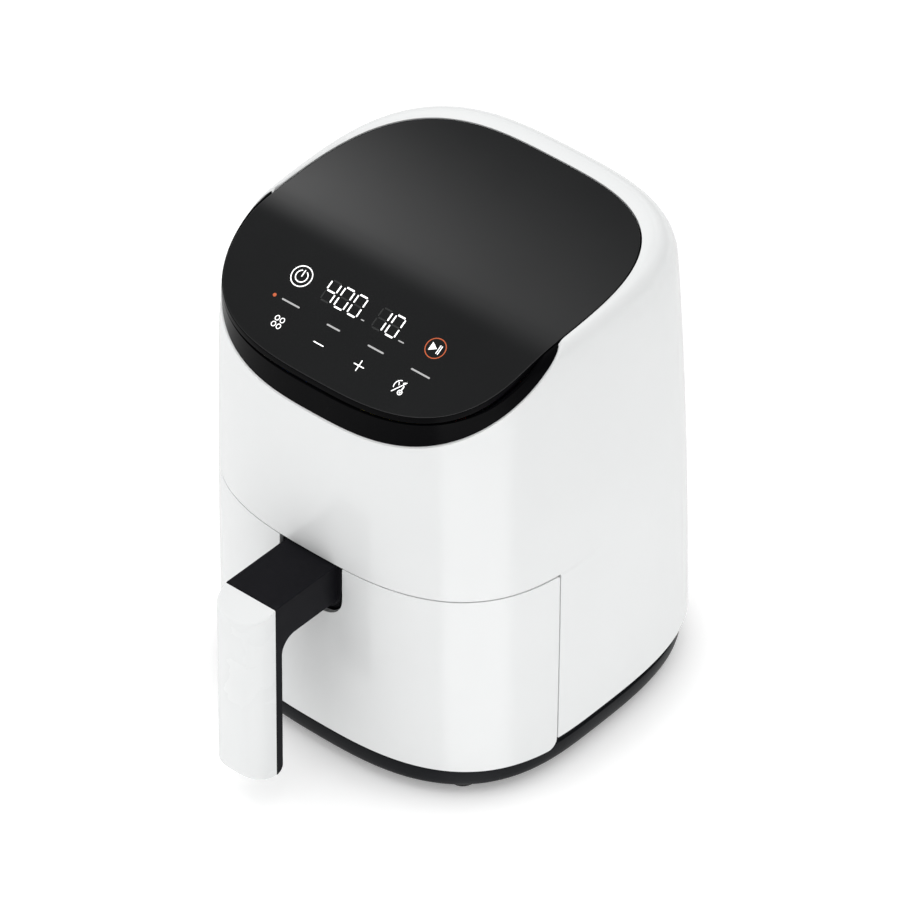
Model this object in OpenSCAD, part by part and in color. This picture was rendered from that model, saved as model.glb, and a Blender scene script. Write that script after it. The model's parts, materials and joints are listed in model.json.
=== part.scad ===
// Compact drawer-type air fryer. The front, with the handle, faces -Y and +Z is up.
// Most of the modules work in body coordinates, with Y = 0 on the widest line of the body,
// and at_body() moves them so that the origin is the bottom centre of the whole appliance.

/* [Body] */
// Width of the body at its widest
body_w = 196.4; // [190:0.2:206]
// From the widest line of the body to the front wall
front_depth = 90.4; // [88:0.2:94]
// From the widest line of the body to the back wall, at the base
rear_depth = 115.5; // [113:0.5:120]
// Squareness of the front half of the outline, where 2 is an ellipse
front_bow = 2.8; // [2.6:0.1:3.2]
// Squareness of the back half of the outline
rear_bow = 3.1; // [2.9:0.1:3.4]
// Thickness of the moulded shells
wall = 2.6; // [2:0.1:3]

/* [Drawer] */
// Height of the seam between the drawer front and the upper shell
seam_z = 122.6; // [121:0.2:124]
// Width of the open joint lines between the shells
joint_line = 0.7; // [0.4:0.1:1]
// Outside width of the basket
basket_w = 150; // [140:1:150]
// Outside length of the basket, front to back
basket_l = 156; // [140:1:156]

/* [Handle] */
// Width of the handle
handle_w = 30.7; // [28:0.1:34]
// From the front wall to the face of the handle
handle_reach = 55.7; // [53:0.1:60]
// Depth of the rounded white cover on the handle
cover_depth = 14.4; // [12:0.1:16]
// Height of the lowest point of the grip
grip_bottom = 20.6; // [18:0.2:28]
// How far the handle stands to the side of the middle
handle_x = -1.7; // [-2:0.1:2]

/* [Control panel] */
// Half width of the glossy top panel
panel_half_w = 85.6; // [84:0.1:86]
// Thickness of the top panel
panel_t = 3.4; // [2.6:0.1:4]
// Height of the panel where its two slopes meet
panel_bend_z = 249.9; // [249:0.1:251]
// Slope of the front part of the panel
front_slope = 0.45; // [0.42:0.01:0.48]
// Slope of the rear part of the panel
rear_slope = 0.056; // [0.04:0.002:0.07]

/* [Hidden] */
$fn = 48;

white = "whitesmoke";
black = "#1c1d1f";
grey = "#3a3b3e";
steel = "silver";

gap = 0.3;                     // clearance between pieces that move past each other
touch_gap = 0.15;              // clearance between pieces that are fastened together
body_cy = (front_depth + handle_reach - rear_depth) / 2;
half_w = body_w / 2;
big = 400;

// Outline of the body. A point is found by its angle around the widest line.
steps = 96;
angles = [for (i = [0 : steps - 1]) i * 360 / steps];
function bow(a, n) = sign(a) * pow(abs(a), 2 / n);
function oval(a, w, front, rear, nf, nr) =
    let (n = sin(a) < 0 ? nf : nr)
    [w * bow(cos(a), n), (sin(a) < 0 ? front : rear) * bow(sin(a), n)];
function body_point(a, w, front, rear) = oval(a, w, front, rear, front_bow, rear_bow);

// The side and back walls lean in towards the top
shell_z = 22.9;
lean_span = 193.7;
side_lean = 2.5;
rear_lean = 10.4;
rear_bulge = 3.9;
function lean(z) = (z - shell_z) / lean_span;
function wall_w(z) = half_w - side_lean * pow(lean(z), 3);
function wall_rear(z) = rear_depth - rear_lean * lean(z) - rear_bulge * pow(lean(z), 2);
function body_outline(z, inset) =
    [for (a = angles) body_point(a, wall_w(z) - inset, front_depth - inset, wall_rear(z) - inset)];

// Outline and height of the top panel, two slopes blended by a hyperbola
panel_y = -20.5;
panel_front = 69;
panel_rear = 99.4;
bend_y = -34.2;
bend_size = 9.6;
slope_mean = (front_slope + rear_slope) / 2;
slope_half = (front_slope - rear_slope) / 2;
function panel_z(y) = panel_bend_z + slope_mean * (y - bend_y)
    - slope_half * sqrt(pow(y - bend_y, 2) + pow(bend_size, 2));
function panel_point(a, grow) =
    oval(a, panel_half_w + grow, panel_front + grow, panel_rear + grow, 3, 3.2) + [0, panel_y];
function panel_outline(grow) = [for (a = angles) panel_point(a, grow)];

// The shell's front edge is cut by this sloping plane
cut_y = -89.5;
cut_z = 205.6;
cut_slope = 0.632;

// Drawer
drawer_z = 17.5;
drawer_side_y = -27.4;
frame_rear = -31.7;
front_lean = 2.3;
basket_z = 22;
basket_top = 118;
basket_wall = 1;
basket_y = 4;
basket_front = basket_y - basket_l / 2;
basket_r = 28;
notch_w = 38.7;
notch_h = 31.2;
notch_r = 11.9;
crisper_z = 32;

// Heating chamber, which holds the basket
liner_w = 81.5;
liner_front = -26.3;
hood_front = -77;
liner_rear = 89;
liner_y = (hood_front + liner_rear) / 2;
liner_l = liner_rear - hood_front;
liner_r = 32;
liner_z = 16;
liner_t = 1;
ceiling_z = 124.2;
chamber_z = 166;
fan_y = basket_y;

// Motor stack, on the fan's axis
shaft_r = 3;
bracket_z = 183;
core_z = 186;
cap_z = 204.4;

// Handle
cover_y = -front_depth - handle_reach;
grip_y = cover_y + cover_depth;
grip_t = 4.5;
arm_top = 122.1;
arm_h = 21.5;
arm_fillet = 8.9;
bottom_round = 7;
cover_slope = 20;
grip_screw_z = [40, 85];

module at_body() translate([0, body_cy, 0]) children();
module at_handle() at_body() translate([handle_x, 0, 0]) children();
module at_fan(z = 0) translate([0, body_cy + fan_y, z]) children();
module mirrored() {
    children();
    mirror([1, 0, 0]) children();
}

// A box from its lowest and highest corners
module span(low, high) translate(low) cube(high - low);

// A straight hole or pin along Y
module along_y(r, length) rotate([-90, 0, 0]) cylinder(r = r, h = length);

// Flat outline with round corners, drawn with true arcs
module round_rect(w, l, r) {
    square([w - 2 * r, l], center = true);
    square([w, l - 2 * r], center = true);
    for (x = [-1, 1], y = [-1, 1])
        translate([x * (w / 2 - r), y * (l / 2 - r)]) circle(r);
}
module slab(w, l, r, z0, z1) translate([0, 0, z0]) linear_extrude(z1 - z0) round_rect(w, l, r);

// A solid from rings of points: capped is a stack, otherwise the last ring joins the first
module ring_solid(rings, capped = false) {
    n = len(rings[0]);
    last = len(rings) - (capped ? 2 : 1);
    sides = [for (k = [0 : last], i = [0 : n - 1])
        let (j = (i + 1) % n, a = k * n, b = ((k + 1) % len(rings)) * n)
        each [[a + i, b + i, b + j], [a + i, b + j, a + j]]];
    caps = capped ? [[for (i = [0 : n - 1]) i],
        [for (i = [n - 1 : -1 : 0]) (len(rings) - 1) * n + i]] : [];
    polyhedron([for (ring = rings) each ring], concat(sides, caps));
}
function flat_ring(points, z) = [for (p = points) [p[0], p[1], z]];

// Wall of the body, from its bottom edge over the shoulder to the rim around the panel
shoulder_h = 18;
shoulder_z = 238.5;
shoulder_base = 200;
rim_rise = 0.5;
rim_lip = 3;
function rim_grow(a) = 1 + 5.2 * pow(max(0, sin(a)), 1.5);
function rim_point(a, inset) =
    let (p = panel_point(a, rim_grow(a) - inset)) [p[0], p[1], panel_z(p[1]) + rim_rise - inset];
function shoulder_ring(inset, drop, height, t) = [for (a = angles)
    let (rim = rim_point(a, min(inset, 1)),
        side = body_point(a, wall_w(shoulder_z) - inset, front_depth - inset,
            wall_rear(shoulder_z) - inset))
    [side[0] * cos(t) + rim[0] * (1 - cos(t)), side[1] * cos(t) + rim[1] * (1 - cos(t)),
        rim[2] - drop - height * (1 - sin(t))]];
function edge_ring(grow, drop) = [for (a = angles)
    let (p = panel_point(a, grow)) [p[0], p[1], panel_z(p[1]) - drop]];
module body_wall(inset, thick) {
    levels = [shell_z, 72.9, seam_z, 165, shoulder_base];
    inner = [shoulder_base, seam_z, shell_z];
    ring_solid(concat(
        [for (z = levels) flat_ring(body_outline(z, inset), z)],
        [for (t = [0 : 15 : 90]) shoulder_ring(inset, 0, shoulder_h, t)],
        [edge_ring(0.5 - inset, 0), edge_ring(0.5 - inset, rim_lip)],
        [for (t = [72, 48, 24, 0]) shoulder_ring(inset + thick, rim_lip, shoulder_h - rim_lip, t)],
        [for (z = inner) flat_ring(body_outline(z, inset + thick), z)]));
}

// Everything above the sloping front cut
module above_cut(clearance) translate([0, cut_y, cut_z + clearance])
    rotate([atan(cut_slope), 0, 0]) translate([-big / 2, -big / 2, 0]) cube([big, big, big]);

// Strip that follows the panel's profile, between two depths below its top surface
module panel_strip(top_drop, bottom_drop) {
    ys = [for (i = [0 : 30]) -96 + i * 6];
    rotate([90, 0, 90]) translate([0, 0, -big / 2]) linear_extrude(big)
        polygon(concat([for (y = ys) [y, panel_z(y) - top_drop]],
            [for (i = [30 : -1 : 0]) [ys[i], panel_z(ys[i]) - bottom_drop]]));
}
module panel_layer(grow, top_drop, bottom_drop) intersection() {
    translate([0, 0, 180]) linear_extrude(100) polygon(panel_outline(grow));
    panel_strip(top_drop, bottom_drop);
}

// Places its children on the front slope of the panel, drop below it, x across and s down it
module on_slope(s, drop) translate([0, slope_y, panel_z(slope_y)])
    rotate([atan(front_slope), 0, 0]) translate([0, -s, -drop]) children();
slope_y = -58;

// ---- Housing ----

vent_w = 84;
vent_z0 = 166;
vent_z1 = 214;
gland_z = 44;
gland_r = 9;
gland_hole = 3.6;

module outer_shell() color(white) at_body() difference() {
    body_wall(0, wall);
    span([-big / 2, -big / 2, 0], [big / 2, drawer_side_y + joint_line, seam_z + joint_line / 2]);
    above_cut(0);
    span([-vent_w / 2, 60, vent_z0], [vent_w / 2, 140, vent_z1]);
    translate([0, 90, gland_z]) along_y(gland_r + gap, 50);
}

tray_z = 5;
tray_top = 16.9;
foot_x = 65;
foot_front = -58;
foot_rear = 78;
upstand_inset = wall + 2 * gap;
upstand_top = shell_z + 6;
module tray_upstand(grow = 0) difference() {
    translate([0, 0, tray_top - 4]) linear_extrude(upstand_top - tray_top + 4 + grow)
        polygon(body_outline(shell_z, upstand_inset - grow));
    translate([0, 0, tray_top - 5]) linear_extrude(20)
        polygon(body_outline(shell_z, upstand_inset + wall + grow));
    span([-big, -big, 0], [big, frame_rear + 3.6, big]);
}
screw_from_foot = 22;
module at_feet() for (x = [-1, 1], y = [foot_front, foot_rear])
    translate([x * foot_x, y, 0]) children();
module at_base_screws()
    for (x = [-1, 1], y = [foot_front + screw_from_foot, foot_rear - screw_from_foot])
        translate([x * foot_x, y, 0]) children();
module base_tray() color(grey) at_body() {
    difference() {
        ring_solid([for (level = [[tray_z, 8.2], [6.2, 4.6], [9, 3], [tray_top, 2.4]])
            flat_ring(body_outline(shell_z, level[1]), level[0])], capped = true);
        translate([0, 0, tray_z + wall])
            linear_extrude(20) polygon(body_outline(shell_z, 2 * wall + gap));
        at_feet() translate([0, 0, -1]) cylinder(r = 4, h = 20);
        at_base_screws() cylinder(r = 2.1, h = 20);
    }
    tray_upstand();
    at_base_screws() difference() {
        translate([0, 0, tray_z + 1]) cylinder(r = 5, h = 9.7);
        cylinder(r = 2.1, h = 20);
    }
}

foot_r = 7;
module rubber_feet() color(black) at_body() at_feet() {
    cylinder(r1 = foot_r - 0.8, r2 = foot_r, h = 1);
    translate([0, 0, 1]) cylinder(r = foot_r, h = tray_z - 1 - 0.05);
    cylinder(r = 3.9, h = tray_z + wall + 0.6);
    translate([0, 0, tray_z + wall + 0.1]) cylinder(r1 = 5.2, r2 = 4, h = 2);
}

module base_screws() color(steel) at_body() at_base_screws() {
    translate([0, 0, tray_z - 1.6]) cylinder(r = 3.6, h = 1.5);
    translate([0, 0, tray_z - 1]) cylinder(r = 1.9, h = 11);
}

module top_panel() color(black) at_body() panel_layer(0, 0, panel_t);

// Past bezel_end_y the ends of the band run up beside the panel to the corners of the cut
bezel_groove = 1.4;
bezel_end_y = -60;
bezel_end_slope = 0.51;
bezel_rear = -12;
module above_bezel_end()
    translate([0, bezel_end_y, panel_z(bezel_end_y) - panel_t - bezel_groove])
        rotate([atan(bezel_end_slope), 0, 0]) translate([-big / 2, -big / 2, 0]) cube(big);
module panel_bezel() color(black) at_body() difference() {
    intersection() {
        body_wall(0.6, wall);
        above_cut(gap);
        translate([0, 0, 180]) linear_extrude(100)
            square_at(-100, -100, 100, bezel_rear);
    }
    intersection() {
        panel_strip(-30, panel_t + bezel_groove);
        above_bezel_end();
    }
    panel_layer(gap, -30, panel_t + bezel_groove);
}

// Frame that carries the panel and hangs the control board
carrier_t = 2;
module panel_prism(grow) translate([0, 0, 180]) linear_extrude(100) polygon(panel_outline(grow));
module panel_carrier() color(grey) at_body() {
    intersection() {
        panel_strip(panel_t + touch_gap, panel_t + touch_gap + carrier_t);
        panel_prism(-5);
        union() {
            difference() {
                panel_prism(-4);
                panel_prism(-9);
            }
            for (y = [-42, 24]) translate([-big / 2, y, 180]) cube([big, 6, 100]);
        }
    }
    difference() {
        on_board_corners() span([-3, -3, board_t + touch_gap], [3, 3, board_drop]);
        panel_strip(-30, panel_t + touch_gap);
    }
}

// Display and touch controls, stacked below the panel's front slope
board_drop = 13;
board_t = 1.6;
board_w = 100;
board_l = 42;
guide_h = 4;
module on_board_corners() on_slope(0, board_drop) for (x = [-1, 1], y = [-1, 1])
    translate([x * (board_w / 2 - 4), y * (board_l / 2 - 4), 0]) children();
module control_board() color("darkgreen") at_body() difference() {
    on_slope(0, board_drop) translate([-board_w / 2, -board_l / 2, 0]) cube([board_w, board_l, board_t]);
    on_board_corners() translate([0, 0, -1]) cylinder(r = 1.6, h = 4);
}
module light_guide() color(white) at_body() on_slope(0, board_drop - board_t - touch_gap - 3.2)
    difference() {
        translate([-27, -3, 0]) cube([54, 17, guide_h]);
        for (x = [-18.5, -9.5, -0.5, 11.5, 20.5])
            translate([x, 5.5, -1]) linear_extrude(guide_h + 2) square([7, 13], center = true);
    }
module display_module() color(black) at_body() on_slope(0, board_drop - board_t - touch_gap)
    translate([-27, -3, 0]) cube([54, 17, 3]);
key_x = [-36.5, -12.2, 12.2, 36.5];
module touch_springs() color(steel) at_body() on_slope(0, board_drop - board_t - touch_gap) {
    for (x = key_x) translate([x, -17, 0]) touch_spring();
    for (x = [-1, 1]) translate([x * 40.4, 6, 0]) touch_spring();
}
module touch_spring() {
    spring_h = board_drop - board_t - panel_t - 3 * touch_gap;
    for (z = [0 : 1.6 : spring_h - 0.5]) translate([0, 0, z]) difference() {
        cylinder(r = 4, h = 0.5);
        translate([0, 0, -1]) cylinder(r = 3.2, h = 3);
    }
    translate([3.6, 0, 0]) cylinder(r = 0.35, h = spring_h);
    translate([-3.6, 0, 0]) cylinder(r = 0.35, h = spring_h);
}
module buzzer() color(black) at_body() on_slope(0, board_drop + touch_gap + 5)
    translate([38, 6, 0]) difference() {
        cylinder(r = 5.5, h = 5);
        translate([0, 0, -1]) cylinder(r = 1.2, h = 4);
    }

// Black frame around the drawer's mouth, with a ceiling over the drawer front
mouth_t = 2.2;
mouth_y = frame_rear + 3;
module mouth_frame() color(black) at_body() difference() {
    union() {
        translate([0, 0, ceiling_z]) linear_extrude(mouth_t) intersection() {
            polygon(body_outline(seam_z, wall + gap));
            translate([-big / 2, -big]) square([big, big + mouth_y + mouth_t]);
        }
        intersection() {
            translate([0, 0, tray_top + gap]) linear_extrude(ceiling_z + 1 - tray_top - gap)
                polygon(body_outline(seam_z, wall + 3 * gap));
            span([-big, mouth_y, 0], [big, mouth_y + mouth_t, big]);
        }
    }
    liner_prism(-gap, 0, big);
    span([-liner_w - gap, -big, 0], [liner_w + gap, big, ceiling_z - 0.5]);
    translate([switch_x, -50, switch_z]) along_y(plunger_r + gap, 50);
    tray_upstand(gap);
}

// The chamber's plan, a rectangle with large round corners
module liner_prism(inset, z0, z1)
    translate([0, liner_y, 0]) slab(2 * (liner_w - inset), liner_l - 2 * inset, liner_r - inset, z0, z1);
module cavity_liner() color(steel) at_body() difference() {
    liner_prism(0, liner_z, chamber_z);
    liner_prism(liner_t, liner_z + liner_t, chamber_z + 1);
    span([-big, -big, 0], [big, liner_front, ceiling_z - 0.5]);
    at_base_screws() cylinder(r = 2.1, h = 30);
}

// Rails that hold the basket's rim as the drawer slides
rail_z = 112;
rail_h = 4;
module guide_rails() color(steel) at_body() mirrored()
    span([basket_w / 2 + 1, liner_front + 1, rail_z],
        [liner_w - liner_t - 0.05, liner_rear - liner_r - 2, rail_z + rail_h]);

chamber_t = 1.2;
reflector_r = 71;
reflector_z = 162.6;
module chamber_top() color(steel) at_fan() difference() {
    translate([0, -fan_y, 0]) liner_prism(0, chamber_z + 0.05, chamber_z + 0.05 + chamber_t);
    translate([0, 0, chamber_z - 1]) cylinder(r = 7, h = 4);
    for (a = [45 : 90 : 315]) rotate(a) translate([60, 0, chamber_z - 1]) cylinder(r = 1.6, h = 4);
    for (y = [-terminal_gap, terminal_gap])
        translate([-leg_x, y, chamber_z - 1]) cylinder(r = 3.9, h = 4);
    translate([60, -62, chamber_z - 1]) cylinder(r = 2.2, h = 4);
}

module heat_reflector() color(steel) at_fan() difference() {
    translate([0, 0, reflector_z]) cylinder(r = reflector_r, h = 0.8);
    translate([0, 0, reflector_z - 1]) cylinder(r = 9, h = 3);
    for (a = [45 : 90 : 315]) rotate(a) translate([60, 0, reflector_z - 1]) cylinder(r = 1.6, h = 4);
    for (y = [-terminal_gap, terminal_gap])
        translate([-leg_x, y, reflector_z - 1]) cylinder(r = 3.9, h = 4);
}
module reflector_screws() color(steel) at_fan() for (a = [45 : 90 : 315]) rotate(a) translate([60, 0, 0]) {
    translate([0, 0, reflector_z - 1.3]) cylinder(r = 3, h = 1.2);
    translate([0, 0, reflector_z - 1]) cylinder(r = 1.45, h = 6.4);
    translate([0, 0, reflector_z + 0.95]) cylinder(r = 3, h = chamber_z - reflector_z - 1);
}

// Tubular heating element: two rings, joined by radial links, with legs up through the chamber top
tube_r = 3.2;
heater_z = 140;
outer_ring = 64;
inner_ring = 48;
terminal_gap = 7;
leg_x = sqrt(pow(outer_ring, 2) - pow(terminal_gap, 2));
leg_angle = asin(terminal_gap / outer_ring);
link_angle = 12;
module tube_arc(r, from, sweep) rotate(from) rotate_extrude(angle = sweep)
    translate([r, 0]) rotate(15) circle(tube_r, $fn = 12);
module heater_coil() color("dimgray") at_fan(heater_z) {
    joint_r = tube_r + 0.35;
    tube_arc(outer_ring, leg_angle - 180, 360 - 2 * leg_angle);
    tube_arc(inner_ring, link_angle, 360 - 2 * link_angle);
    for (y = [-1, 1]) {
        translate([-leg_x, y * terminal_gap, -joint_r]) cylinder(r = joint_r, h = 34 + joint_r);
        translate([-leg_x, y * terminal_gap, 33]) cylinder(r = 1.2, h = 9);
        rotate(y * link_angle) translate([inner_ring - joint_r, 0, 0])
            rotate([0, 90, 0]) cylinder(r = joint_r, h = outer_ring - inner_ring + joint_r);
    }
}
module heater_clips() color(steel) at_fan() for (a = [90, 210, 330]) rotate(a) {
    span([40, -3, heater_z - tube_r - 1.3], [69, 3, heater_z - tube_r - 0.15]);
    span([69, -3, heater_z - tube_r - 1.3], [70, 3, reflector_z - 0.05]);
}

// Wire guard under the heater
guard_z = 132;
wire_r = 1.1;
module fan_guard() color(steel) at_fan() {
    for (r = [16, 34, 52, 69])
        translate([0, 0, guard_z]) rotate_extrude() translate([r, 0]) circle(wire_r);
    for (a = [0 : 45 : 135])
        rotate(a) translate([-72, 0, guard_z + 0.7]) rotate([0, 90, 0]) cylinder(r = wire_r, h = 144);
    for (a = [0 : 90 : 270])
        rotate(a) span([71, -4, guard_z - 2], [liner_w - liner_t - 4.2, 4, guard_z + 3]);
    for (a = [0, 180]) rotate(a)
        span([72, -4, guard_z - 2], [liner_w - liner_t - 0.1, 4, guard_z + 3]);
}

module insulation_pad() color("lightyellow") at_fan() difference() {
    translate([0, 0, chamber_z + chamber_t + 0.2]) linear_extrude(3) round_rect(150, 140, 30);
    translate([0, 0, 160]) cylinder(r = 46, h = 20);
    for (a = [0 : 90 : 270]) rotate(a + 45) translate([60, 0, 160]) cylinder(r = 5, h = 20);
    for (x = [-1, 1]) span([x * 56 - 8, -11, 160], [x * 56 + 8, 11, 180]);
    span([-76, -14, 160], [-60, 14, 180]);
    translate([60, -62, 160]) cylinder(r = 6, h = 20);
}

module bush(z) translate([0, 0, z]) difference() {
    cylinder(r = 6, h = 6);
    translate([0, 0, -1]) cylinder(r = shaft_r + 0.04, h = 8);
}
module motor_bracket() color(steel) at_fan() difference() {
    union() {
        span([-56, -17, bracket_z], [56, 17, bracket_z + 1.2]);
        for (x = [-1, 1]) {
            span([x * 55.4 - 0.6, -10, chamber_z + chamber_t + 0.1],
                [x * 55.4 + 0.6, 10, bracket_z + 1]);
            translate([x * 54, 0, chamber_z + chamber_t + 0.7]) cube([8, 20, 1.2], center = true);
        }
    }
    translate([0, 0, bracket_z - 1]) cylinder(r = 6.05, h = 4);
    for (x = [-1, 1]) translate([x * motor_screw_x, 0, bracket_z - 1]) cylinder(r = 1.7, h = 4);
}
module motor_bushes() color("goldenrod") at_fan() {
    bush(bracket_z - 2);
    bush(cap_z - 2.4);
}
motor_screw_x = 26;
core_r = 15.4;
module motor_core() color("slategray") at_fan() difference() {
    span([-31, -24, core_z], [31, 36, core_z + 16]);
    translate([0, 0, core_z - 1]) cylinder(r = core_r, h = 18);
    for (x = [-1, 1]) {
        translate([x * motor_screw_x, 0, core_z - 1]) cylinder(r = 1.7, h = 18);
        span([min(x * 12, x * 22), 18, core_z - 1], [max(x * 12, x * 22), 28, core_z + 18]);
    }
}
module motor_winding() color("peru") at_fan() difference() {
    span([-21.5, 18.5, core_z - 5], [21.5, 27.5, core_z + 21]);
    span([-12.3, 10, core_z - touch_gap], [12.3, 40, core_z + 16 + touch_gap]);
}
module motor_cap() color(steel) at_fan() difference() {
    span([-31, -11, cap_z], [31, 11, cap_z + 1.2]);
    translate([0, 0, cap_z - 1]) cylinder(r = 6.05, h = 4);
    for (x = [-1, 1]) translate([x * motor_screw_x, 0, cap_z - 1]) cylinder(r = 1.7, h = 4);
}
module motor_screws() color(steel) at_fan() for (x = [-1, 1]) translate([x * motor_screw_x, 0, 0]) {
    translate([0, 0, bracket_z - 1.6]) cylinder(r = 1.5, h = cap_z - bracket_z + 5);
    translate([0, 0, cap_z + 1.3]) cylinder(r = 3, h = 2.2);
    translate([0, 0, bracket_z + 1.25]) difference() {
        cylinder(r = 3, h = core_z - bracket_z - 1.4);
        cylinder(r = 1.55, h = 9, center = true);
    }
    translate([0, 0, core_z + 16.1]) cylinder(r = 3, h = cap_z - core_z - 16.2);
}

module thermal_cutout() color(black) at_fan() translate([0, 53, chamber_z + chamber_t + 3.3]) {
    cylinder(r = 7, h = 5);
    span([-10, -1.5, 5], [-4, 1.5, 5.8]);
    span([4, -1.5, 5], [10, 1.5, 5.8]);
}
module temperature_probe() color(steel) at_fan() translate([60, -62, 0]) {
    translate([0, 0, 146]) cylinder(r = 2, h = chamber_z + chamber_t - 146 + 4);
    translate([0, 0, chamber_z + chamber_t + 0.15]) cylinder(r = 4, h = 2.4);
}

// Power electronics, in front of the motor
power_z = 180;
power_w = 50;
power_front = -77;
power_rear = -44;
module power_board() color("darkgreen") at_body() {
    difference() {
        span([-power_w, power_front, power_z], [power_w, power_rear, power_z + 1.6]);
        for (x = [5 - power_w, power_w - 5])
            translate([x, power_front + 5, power_z - 1]) cylinder(r = 1.7, h = 4);
    }
    for (x = [8 - power_w, power_w - 8], y = [power_front + 14, power_rear - 5])
        translate([x, y, chamber_z + chamber_t + 3.4]) cylinder(r = 3.4, h = power_z - chamber_z - 4.5);
}
module power_relay() color("royalblue") at_body() translate([-34, -60, power_z + 1.65]) {
    slab(19, 15, 1.2, 0, 15.5);
    slab(17, 13, 1, 15, 16);
}
module power_capacitor() color(black) at_body() translate([-8, -60, power_z + 1.65]) {
    cylinder(r = 6.3, h = 21);
    translate([0, 0, 20.5]) cylinder(r1 = 6, r2 = 5.4, h = 1);
}
module power_transformer() color("gold") at_body() translate([22, -60, power_z + 1.65]) {
    slab(24, 20, 1.5, 0, 4);
    slab(20, 12, 1.5, 3.5, 18);
    span([-12, -10, 14], [12, 10, 19]);
}
module terminal_block() color(white) at_body()
    translate([52, 42, chamber_z + chamber_t + 3.4]) difference() {
        span([-8, -17, 0], [8, 17, 13]);
        for (y = [-11, 0, 11]) translate([0, y, 6]) {
            rotate([0, 90, 0]) cylinder(r = 2, h = 30, center = true);
            cylinder(r = 2.4, h = 20);
        }
    }

// Insulated leads, swept along chosen points
lead_r = 1.3;
function curve(pts, t) = let (n = len(pts) - 1, i = min(floor(t * n), n - 1), u = t * n - i,
    p0 = pts[max(i - 1, 0)], p1 = pts[i], p2 = pts[i + 1], p3 = pts[min(i + 2, n)])
    0.5 * (2 * p1 + (p2 - p0) * u + (2 * p0 - 5 * p1 + 4 * p2 - p3) * u * u
        + (3 * p1 - p0 - 3 * p2 + p3) * u * u * u);
module lead(pts, rings = 18) {
    line = [for (k = [0 : rings]) curve(pts, k / rings)];
    ring_solid([for (k = [0 : rings])
        let (d = line[min(k + 1, rings)] - line[max(k - 1, 0)], f = d / norm(d),
            ref = abs(f[2]) > 0.8 ? [0, 1, 0] : [0, 0, 1],
            s = cross(f, ref) / norm(cross(f, ref)), v = cross(s, f))
        [for (a = [0 : 45 : 315]) line[k] + lead_r * (cos(a) * s + sin(a) * v)]], capped = true);
}
heater_leads = [
    [[-63.6, 11, 186], [-66, 10, 194], [-60, 0, 202], [-50, -20, 204], [-46, -40, 202],
        [-46, -54, 194], [-46, -60, 183.4]],
    [[-63.6, -3, 186], [-67, -6, 192], [-63, -16, 196], [-58, -30, 194], [-52, -42, 188],
        [-46, -50, 183.4]]];
mains_leads = [
    [[52, 31, 188.2], [46, 20, 206], [46, 0, 212], [46, -30, 206], [46, -46, 192], [46, -50, 183.4]],
    [[52, 42, 188.2], [52, 30, 210], [52, 4, 216], [52, -30, 208], [48, -56, 192], [46, -60, 183.4]]];
gland_leads = [
    [[-2, 106, 44], [14, 101, 62], [34, 99, 110], [50, 94.5, 148], [57, 92.5, 167],
        [62, 72, 177], [61.8, 42, 177.2]],
    [[2.6, 106, 44], [20, 101, 58], [40, 98, 106], [56, 91.8, 146], [62, 90.3, 167],
        [68, 62, 177], [61.8, 31, 177.2]]];
module wiring() color("firebrick") at_body()
    for (route = concat(heater_leads, mains_leads, gland_leads)) lead(route);

duct_w = 78;
module exhaust_duct() color(grey) at_body() difference() {
    span([-duct_w / 2, 60, 176], [duct_w / 2, 95, 212]);
    span([-duct_w / 2 + 1.6, 50, 177.6], [duct_w / 2 - 1.6, 100, 210.4]);
}
module exhaust_grille() color(black) at_body() difference() {
    intersection() {
        body_wall(0.5, wall);
        span([-vent_w / 2 + gap, 60, vent_z0 + gap], [vent_w / 2 - gap, 140, vent_z1 - gap]);
    }
    for (z = [vent_z0 + 6 : 6 : vent_z1 - 5]) span([-34, 60, z - 1.3], [34, 140, z + 1.3]);
}

module cord_gland() color(black) at_body() translate([0, 0, gland_z]) difference() {
    union() {
        translate([0, wall_rear(gland_z) - wall - 4.2, 0]) along_y(gland_r + 2.6, 2.8);
        translate([0, wall_rear(gland_z) - wall - 1.5, 0]) along_y(gland_r - 0.1, wall + 1);
    }
    translate([0, 100, 0]) along_y(gland_hole, 30);
}

// Switch behind the mouth frame, which cuts the heater when the drawer is open
switch_x = 88.5;
switch_z = 109;
switch_front = -25.5;
plunger_r = 1.5;
module drawer_switch() color(black) at_body() difference() {
    span([switch_x - 4, switch_front, switch_z - 5], [switch_x + 4, switch_front + 18, switch_z + 5]);
    translate([switch_x, switch_front - 1, switch_z]) along_y(plunger_r + 0.04, 15);
    for (y = [4, 14]) translate([switch_x - 5, switch_front + y, switch_z - 3.6])
        rotate([0, 90, 0]) cylinder(r = 0.8, h = 10);
}

// ---- Drawer ----

module square_at(x0, y0, x1, y1) translate([x0, y0]) square([x1 - x0, y1 - y0]);
module side_outline() {
    corner = 5.5;
    square_at(-big / 2, drawer_z + corner, drawer_side_y, seam_z - joint_line / 2);
    square_at(-big / 2, drawer_z, drawer_side_y - corner, drawer_z + corner + 1);
    translate([drawer_side_y - corner, drawer_z + corner]) circle(corner);
}

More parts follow.
